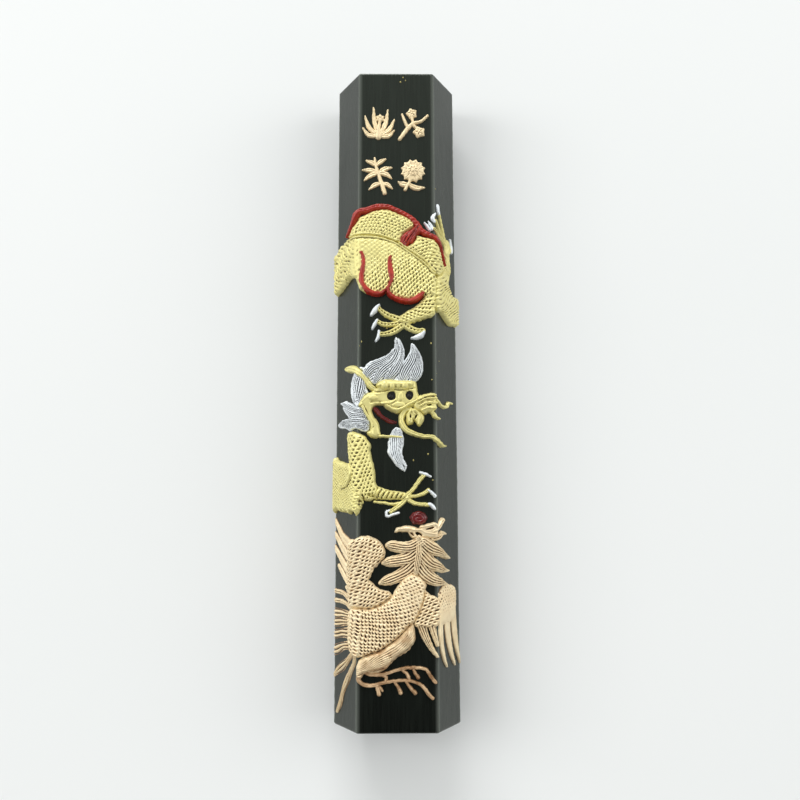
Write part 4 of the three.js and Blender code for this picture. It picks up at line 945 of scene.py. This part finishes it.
def pearl_swirl(u, v, _depth):
    """One spiral groove wound into the pearl."""
    angle = np.arctan2(v + 47.8, (u - 7.4) * 0.72)
    away = np.hypot((u - 7.4) * 0.72, v + 47.8)
    return -0.3 * np.exp(-(np.sin(math.pi * (away / 1.15 - angle / (2 * math.pi))) / 0.35) ** 2)


relief("pearl", "red_lacquer",
    blob(0.95, (4.4, -47.6), (5, -46.6), (6, -45.9), (7.4, -45.5), (9, -46), (10.2, -47.2), (10.4, -48.2),
        (9.8, -49.2), (8.8, -49.9), (7.2, -50), (5.8, -50), (5, -49), edge=1, pattern=pearl_swirl),
     material="dark_red_lacquer")


# ---- Phoenix ----

relief("phoenix_head", "rose_gold",
    blob(1.3, (-0.8, -52.8), (-0.7, -52), (0, -51.2), (1.6, -50.9), (3.2, -50.5), (4.8, -50.7), (6, -51),
        (7.2, -51.4), (8.2, -51), (8.6, -50.4), (10, -50.1), (11.2, -49.8), (12.4, -49.5), (13.8, -50),
        (13.8, -54.4), (12, -54.8), (10, -54.6), (8.6, -54.6), (7.2, -54.6), (6, -55), (5.2, -54.6),
        (4.2, -53.6), (3.6, -52.8), (2, -52.6), (0.6, -52.6), edge=0.8, crown=0.25, crown_width=1.6),
    stroke(1.7, (0.4, -51.6, 0.3), (3.6, -51.5, 0.4), (6, -52, 0.4), (8, -52, 0.35), (10.4, -53, 0.4),
        (13, -53.4, 0.35)),
    stroke(1.7, (8.2, -50.9, 0.3), (10.6, -50.6, 0.35), (13, -50.1, 0.35), (13.7, -51.6, 0.35),
        (12.6, -52.6, 0.3)),
    stroke(1.15, (13, -52.6, 0.55), (14.8, -50.6, 0.9), (16.2, -49.2, 1.2), (17.6, -48.6, 0.8), strands=3),
    stroke(1.15, (12.6, -55, 0.8), (14.8, -54.3, 1), (16.5, -53.2, 0.9), (18.8, -53.4, 0.3), strands=3),
    carvings=[
        carve(1.7, (6.2, -53), (7, -52.6), (8.2, -53), (8.8, -53.8), (8, -54.4), (6.8, -54), edge=0.4),
        carve(1.5, (9.8, -51.8), (11, -51.3), (12.4, -50.8), (12.7, -51.3), (11.6, -51.9), edge=0.3),
        carve(0.8, (4.2, -53), (5.2, -52.8), (6, -53.8), (5.4, -54.2), edge=0.3)])
HACKLES = [
    [(7, -63, 2.2), (3.5, -66, 2.4), (0, -68, 2), (-3.3, -69.2, 1.7), (-5.8, -70, 0.7)],
    [(7.3, -63.6, 2.2), (9.5, -67, 2.4), (12.5, -69, 2), (15.5, -70, 1.2), (18.2, -70.7, 0.3)],
    [(7.8, -59, 2), (4.5, -61.4, 2.4), (1, -62.4, 2), (-2.5, -62.9, 1.7), (-5, -63.3, 0.6)],
    [(8.2, -59.6, 2.2), (11, -63, 2.4), (14, -64.6, 1.7), (16.8, -65.8, 1), (19.7, -66.2, 0.3)],
    [(8.6, -56, 2), (5, -57.8, 2.1), (1.5, -58, 1.9), (-1.5, -57.5, 1.8), (-3.4, -57.3, 0.8)],
    [(9.3, -56, 1.9), (12, -58.2, 2.2), (15, -59.8, 1.4), (17.5, -60.9, 0.8), (19.9, -61.9, 0.25)],
    [(7.6, -55, 1.2), (7.6, -58, 1.4), (7.2, -62, 1.5), (6.4, -66.6, 1)],
]
relief("hackle_plumes", "rose_gold",
    *[stroke(1.4 + 0.12 * i, *line, strands=5, round_=0.8) for i, line in enumerate(HACKLES)],
     recess_scale=0.2)

relief("left_wing", "rose_gold",
    blob(1.7, (-14.2, -54.9), (-12.8, -54.3), (-11.1, -54), (-9, -54.4), (-7, -55.4), (-5.6, -56.6),
        (-4.6, -58.2), (-4.2, -59.9), (-4.6, -61.4), (-5.8, -62.6), (-7, -64.3), (-8, -65), (-8.7, -66.4),
        (-9.2, -67.6), (-9.9, -69), (-9, -69.6), (-8, -70.7), (-6.6, -71.9), (-5.1, -72.5), (-3.4, -72.9),
        (-2.3, -73.6), (-2, -74.6), (-3, -75.5), (-4.4, -76.5), (-6.1, -77.4), (-8, -78.2),
        (-10.4, -78.7), (-12.8, -78.6), (-15.5, -78.4), (-17.8, -77.4), (-18.8, -70), (-18.8, -62),
        (-18, -56.6), (-15.6, -55.8), edge=1.4, crown=0.5, crown_width=4,
        pattern=pitted([(-20, -72), (-11, -66), (-2, -60)], 2, 0.92, 0.76, 0.22, 0.85, 0, 31)),
     recess_scale=0.25)
QUILLS = [
    [(-15.5, -57.2, 1.6), (-19, -57, 2), (-22.5, -55.6, 1.9), (-25.5, -53.6, 1.4), (-28, -51, 1.1),
        (-30.8, -48.4, 0.9)],
    [(-15.5, -61, 1.6), (-19, -61.6, 2), (-22, -60.3, 1.8), (-25, -57.9, 1.5), (-28, -55.4, 1.2),
        (-30.8, -53.2, 0.9)],
    [(-15.5, -65.5, 1.6), (-19, -66.3, 1.9), (-22, -65, 1.7), (-25, -62.7, 1.5), (-28, -60.3, 1.2),
        (-30.8, -58, 0.9)],
    [(-15.5, -70, 1.6), (-18.5, -70.8, 1.5), (-21.5, -69.4, 1.2), (-24.5, -67, 1.1), (-27.3, -64.7, 0.8)],
    [(-15.5, -73.5, 1.5), (-18.5, -73, 1.1), (-21.3, -71.9, 0.6)],
]
relief("left_wing_quills", "rose_gold",
    *[stroke(0.65, *line, groove=0.2) for line in QUILLS],
    stroke(1.2, (-17, -56.5, 1.4), (-17.8, -65, 2), (-17, -75, 1.4), strands=2))

relief("phoenix_body", "rose_gold",
    blob(1.75, (5, -67), (7, -67.6), (8.6, -68.8), (10, -70.8), (9.5, -72.8), (9.3, -75), (8, -79),
        (5.8, -83.2), (4.5, -84), (2.6, -85.9), (0, -88.4), (-2.7, -90.4), (-6, -92.5), (-9.3, -93.6),
        (-12, -94.6), (-13.8, -95), (-15.5, -94), (-17, -92), (-17.6, -88), (-17.8, -83), (-17.2, -80),
        (-14.8, -78.6), (-10.4, -78.9), (-8, -78.4), (-6.1, -77.6), (-3, -75.7), (-1.8, -74.4),
        (-0.6, -72.2), (0.6, -70.6), (2, -68.8), (3.5, -67.6), edge=1.4, crown=0.6, crown_width=6,
        pattern=pitted(
            [(7, -65), (3, -75), (-4, -85), (-17, -96)],
             1.8, 0.86, 0.72, 0.21, 0.85, 0.1, 37, lambda u,
            v: 0.45 + 0.6 * ramp(-v - 0.5 * u, 72, 88),
             True)),
     recess_scale=0.25)

relief("right_shoulder", "rose_gold",
    blob(1.6, (9.5, -72.8), (10.3, -73.3), (11.7, -74.4), (13.7, -75.1), (14.6, -78), (14.5, -82),
        (13.6, -84.6), (11.2, -84.9), (8.6, -85.1), (6.4, -84.8), (5.8, -83.7), (7.2, -80.5),
        (8.8, -76.5), edge=1.3,
        pattern=pitted([(4, -82.6), (10, -79.5), (17, -77)], 2.2, 0.92, 0.9, 0.21, 0.95, 0, 41)),
    stroke(1.15, (8.2, -84, 1.6), (9.5, -88, 1.3), (11.3, -91.5, 0.9), (13.5, -94.8, 0.4), strands=4),
    stroke(1.1, (11.8, -84, 1.3), (12.6, -87.5, 0.9), (13.6, -91, 0.5), strands=3),
     recess_scale=0.25)
PRIMARIES = [
    [(25, -78, 2.2), (25.6, -84, 2.1), (26.6, -89.5, 1.9), (28.2, -94.5, 1.1), (30.2, -99, 0.2)],
    [(20, -78, 2.3), (20.4, -85, 2.2), (21.4, -90, 1.9), (23.4, -95, 1.2), (26, -99.2, 0.2)],
    [(15.8, -79, 1.5), (15.3, -86, 1.5), (15.9, -91, 1.3), (17.5, -95.6, 0.9), (19.6, -99, 0.2)],
]
relief("right_wing", "rose_gold",
    blob(0.95, (13.7, -75), (14.5, -73.3), (16.2, -71.9), (18.2, -71.1), (20.4, -70.8), (22.6, -71.1),
        (24.9, -71.5), (26.6, -72.2), (27.4, -73.6), (27.7, -75.8), (27.4, -78.4), (27, -80.3),
        (26, -82.6), (24, -84.2), (20, -84.4), (15, -84.6), (14, -80), edge=3, crown=0.15, crown_width=4,
        pattern=pitted(
            [(19, -69), (20, -78), (21, -88)],
             1.5, 1, 0.5, 0.28, 0.32, -0.3, 43, lambda u,
            v: 1 - ramp(-v, 77, 82),
             True)),
    *[stroke(0.7, *line, groove=0.15, round_=0.7) for line in PRIMARIES])

relief("thigh", "rose_gold",
    blob(1.5, (5.6, -84.3), (6, -87.6), (6, -89.6), (5, -91.2), (3.6, -92.9), (1.6, -94.3), (0, -95.2),
        (-2, -96.8), (-3.7, -98.5), (-5.3, -99.5), (-8, -100.2), (-11, -100.4), (-12.2, -101.5),
        (-13.6, -101.5), (-13.8, -99), (-13.4, -96.6), (-12, -95), (-9.3, -93.9), (-6, -92.8),
        (-2.7, -90.7), (0, -88.8), (2.6, -86.2), (4.5, -84.2), edge=1.3, crown=0.9, crown_width=3,
        pattern=combed([(7, -83), (1, -91), (-8, -96), (-15, -101)], 0.8, 0.3, 47, -0.012)),
    stroke(2.2, (2.6, -92.4, 0.3), (-1, -94.8, 0.5), (-5, -97.4, 0.6), (-10, -99.2, 0.4)),
    carvings=[
        carve(0.9, (5.4, -89.4), (3.6, -91.4), (0.6, -93.2), (-2.6, -95.6), (-2, -97), (1, -95.4),
            (4.2, -92.8), (6, -90.4), edge=0.9),
        carve(0.8, (-4.6, -97.8), (-8.6, -98.6), (-12.4, -99.4), (-13.6, -101.2), (-10, -100.8),
            (-5, -99.4), edge=0.9)],
     recess_scale=0.2, material="washed_rose_gold")

relief("foot_upper", "rose_gold",
    stroke(1.1, (-12, -99.6, 0.6), (-9, -100.6, 0.55), (-5.3, -100.6, 0.55), (-1.5, -99.6, 0.45),
        (2, -98.7, 0.45), (5, -98.4, 0.45), (8.2, -98.6, 0.4), (9.9, -99.2, 0.45), (11.3, -101.3, 0.5),
        (12.9, -103.3, 0.5), groove=0.2),
    stroke(1, (1.6, -99.2, 0.4), (3.3, -100.6, 0.5), (3.9, -102.2, 0.5)),
    stroke(1, (5.4, -99, 0.4), (6.3, -100.6, 0.45), (7.1, -101.7, 0.55)),
    stroke(1, (-5, -100.8, 0.45), (-3.9, -101.6, 0.5), (-4.1, -102.9, 0.45)),
     material="rubbed_rose_gold")

relief("foot_lower", "rose_gold",
    stroke(1.1, (-12.9, -100.6, 0.8), (-13.2, -102.5, 0.65), (-11.5, -103.9, 0.6), (-8.5, -104.2, 0.6),
        (-5, -103.4, 0.5), (-1.3, -102.8, 0.42), (2.8, -102.6, 0.42), (5.3, -103, 0.4), (7.8, -104, 0.45),
        (9.4, -105.6, 0.5), (10.6, -107.3, 0.5), (11.9, -108.5, 0.5), groove=0.2),
    stroke(1, (-7, -104.4, 0.6), (-6.6, -105.8, 0.65), (-6.3, -107.1, 0.65)),
    stroke(0.9, (-6, -104.6, 0.3), (-5.2, -105.9, 0.35)),
    stroke(1, (-1, -103.2, 0.4), (0.2, -104.8, 0.5), (1, -106.6, 0.65)),
    stroke(1, (3, -103.2, 0.4), (4.4, -105, 0.5), (6, -106.8, 0.6)),
     material="rubbed_rose_gold")
TAIL = {
    "tail_plumes_top": [
        [(-16.5, -78.2, 0.6), (-18.6, -76.7, 0.7), (-21, -75.2, 0.8), (-24, -74.1, 0.75),
            (-30.9, -73.7, 0.8)],
        [(-16.5, -79.8, 0.5), (-18.8, -78.7, 0.5), (-21.2, -77.7, 0.6), (-24.8, -77.1, 0.7),
            (-30.9, -77, 0.75)]],
    "tail_plumes_middle": [
        [(-15.5, -81.5, 1.2), (-19, -81.3, 1.2), (-24, -81.3, 1.5), (-30.9, -81.5, 1.8)],
        [(-15.5, -83.3, 1.1), (-19, -83.6, 1.1), (-24, -84.2, 1.4), (-30.9, -84.9, 1.6)]],
    "tail_plume_broad": [
        [(-15.5, -86.5, 1.5), (-19, -87.3, 1.8), (-24, -87.9, 1.7), (-27, -88.4, 1.5), (-30.9, -89, 1.6)]],
    "tail_plume_low": [
        [(-15.5, -90, 1.5), (-19, -91.4, 1.6), (-23, -92.2, 1.4), (-27, -93.5, 1.8), (-30.9, -94.6, 1.9)]],
    "tail_plumes_trailing": [
        [(-15, -93, 1), (-17.4, -94.7, 1), (-20.3, -96.9, 1.1), (-23.3, -98.8, 1.6), (-26.5, -100.4, 1.5),
            (-30.4, -103, 0.7)],
        [(-14.5, -94, 0.9), (-15.3, -97, 0.9), (-17.5, -99.8, 1.1), (-20, -102.7, 1.5),
            (-22.3, -105.6, 1.3), (-24, -108.6, 1), (-25.4, -111.6, 1.2), (-27.8, -115, 0.6)]],
}
for plume, lines in TAIL.items():
    relief(plume, "rose_gold", *[stroke(0.75, *line, groove=0.2, strands=3) for line in lines])

# ---- Stray drops of gold paint on the ink ----

SPECKS = [(1.6, 116.4), (2.6, 118.2), (3.5, 117), (14.8, 74), (-12.8, 15.4), (-13.6, 13.8), (12.4, 14.8),
             (13.8, 15.6), (-3.6, 20.4), (16.4, 8.6), (12.6, 1.4), (14.2, 3.8), (11, -25.4), (5.8, -27.6),
             (12.6, -34.6), (-6.4, -57.4)]


def paint_specks():
    draws = np.random.default_rng(5).uniform(0.14, 0.3, (len(SPECKS), 2))
    drops = [oval(0.16, u, v, *size, edge=0.14) for (u, v), size in zip(SPECKS, draws)]
    finish_piece(relief_object("paint_specks", drops), "dragon_gold")


paint_specks()


# ---- Camera, floor and light ----

FLOOR_HALF = 3.0                       # metres from the middle of the floor to its edge
FLOOR_DROP = 0.0001                    # metres between the floor and the cake's back
CAMERA_ANGLES = (8.617, -0.724, -0.164)  # degrees round X, Y and Z
CAMERA_PLACE = (-2.71, -50.0, THICKNESS + 290.39)


def add_camera():
    data = bpy.data.cameras.new("camera")
    data.sensor_width = 36
    data.lens = 36.9
    data.clip_start = 0.01
    camera = bpy.data.objects.new("camera", data)
    bpy.context.scene.collection.objects.link(camera)
    angles = Euler([math.radians(angle) for angle in CAMERA_ANGLES])
    camera.matrix_world = Matrix.LocRotScale(Vector(CAMERA_PLACE) * MM, angles, None)
    bpy.context.scene.camera = camera


def add_floor():
    m = Nodes("studio_paper")
    tone = m.noise(3, detail=2)
    paper = m.mix(m.spread(tone, 0.3, 0.7), (0.82, 0.835, 0.83), (0.84, 0.85, 0.845))
    m.set(Base_Color=paper, Roughness=0.9)
    mesh = bpy.data.meshes.new("floor")
    corners = [(x * FLOOR_HALF, y * FLOOR_HALF, -FLOOR_DROP)
               for x, y in ((-1, -1), (1, -1), (1, 1), (-1, 1))]
    mesh.from_pydata(corners, [], [(0, 1, 2, 3)])
    mesh.materials.append(m.material)
    floor = bpy.data.objects.new("floor", mesh)
    bpy.context.scene.collection.objects.link(floor)


def add_softbox(name, place, size, power):
    data = bpy.data.lights.new(name, "AREA")
    data.shape = "RECTANGLE"
    data.size, data.size_y = size
    data.energy = power
    light = bpy.data.objects.new(name, data)
    bpy.context.scene.collection.objects.link(light)
    light.location = place
    aim = -light.location.normalized()
    light.rotation_euler = aim.to_track_quat("-Z", "Y").to_euler()
    light.visible_camera = False


DARK_TILT = math.radians(30)


def add_world():
    """A pale room with a dark patch overhead, towards the lower end, so the polished face stays black."""
    world = bpy.data.worlds.new("studio")
    world.use_nodes = True
    tree = world.node_tree
    coordinates = tree.nodes.new("ShaderNodeTexCoord")
    nearness = tree.nodes.new("ShaderNodeVectorMath")
    nearness.operation = "DOT_PRODUCT"
    nearness.inputs[1].default_value = (0, -math.sin(DARK_TILT), math.cos(DARK_TILT))
    tree.links.new(coordinates.outputs["Generated"], nearness.inputs[0])
    rise = tree.nodes.new("ShaderNodeValToRGB")
    tree.links.new(nearness.outputs["Value"], rise.inputs["Fac"])
    stops = [(0.0, 0.98), (0.5, 0.78), (0.749, 0.58), (0.866, 0.26), (0.935, 0.02)]
    elements = rise.color_ramp.elements
    while len(elements) < len(stops):
        elements.new(0.5)
    for element, (at, level) in zip(elements, stops):
        element.position = at
        element.color = (level * 0.975, level, level * 0.985, 1)
    tree.links.new(rise.outputs["Color"], tree.nodes["Background"].inputs["Color"])
    tree.nodes["Background"].inputs["Strength"].default_value = 0.86
    bpy.context.scene.world = world


add_camera()
add_floor()
add_world()
add_softbox("softbox_left", (-1.8, 0.3, 1.4), (0.9, 1.4), 18)
add_softbox("softbox_right", (1.8, 0.3, 1.3), (1.2, 1.8), 15)
add_softbox("softbox_top", (-0.5, 2.4, 1.2), (1.8, 0.9), 45)
bpy.context.scene.view_settings.view_transform = "Standard"
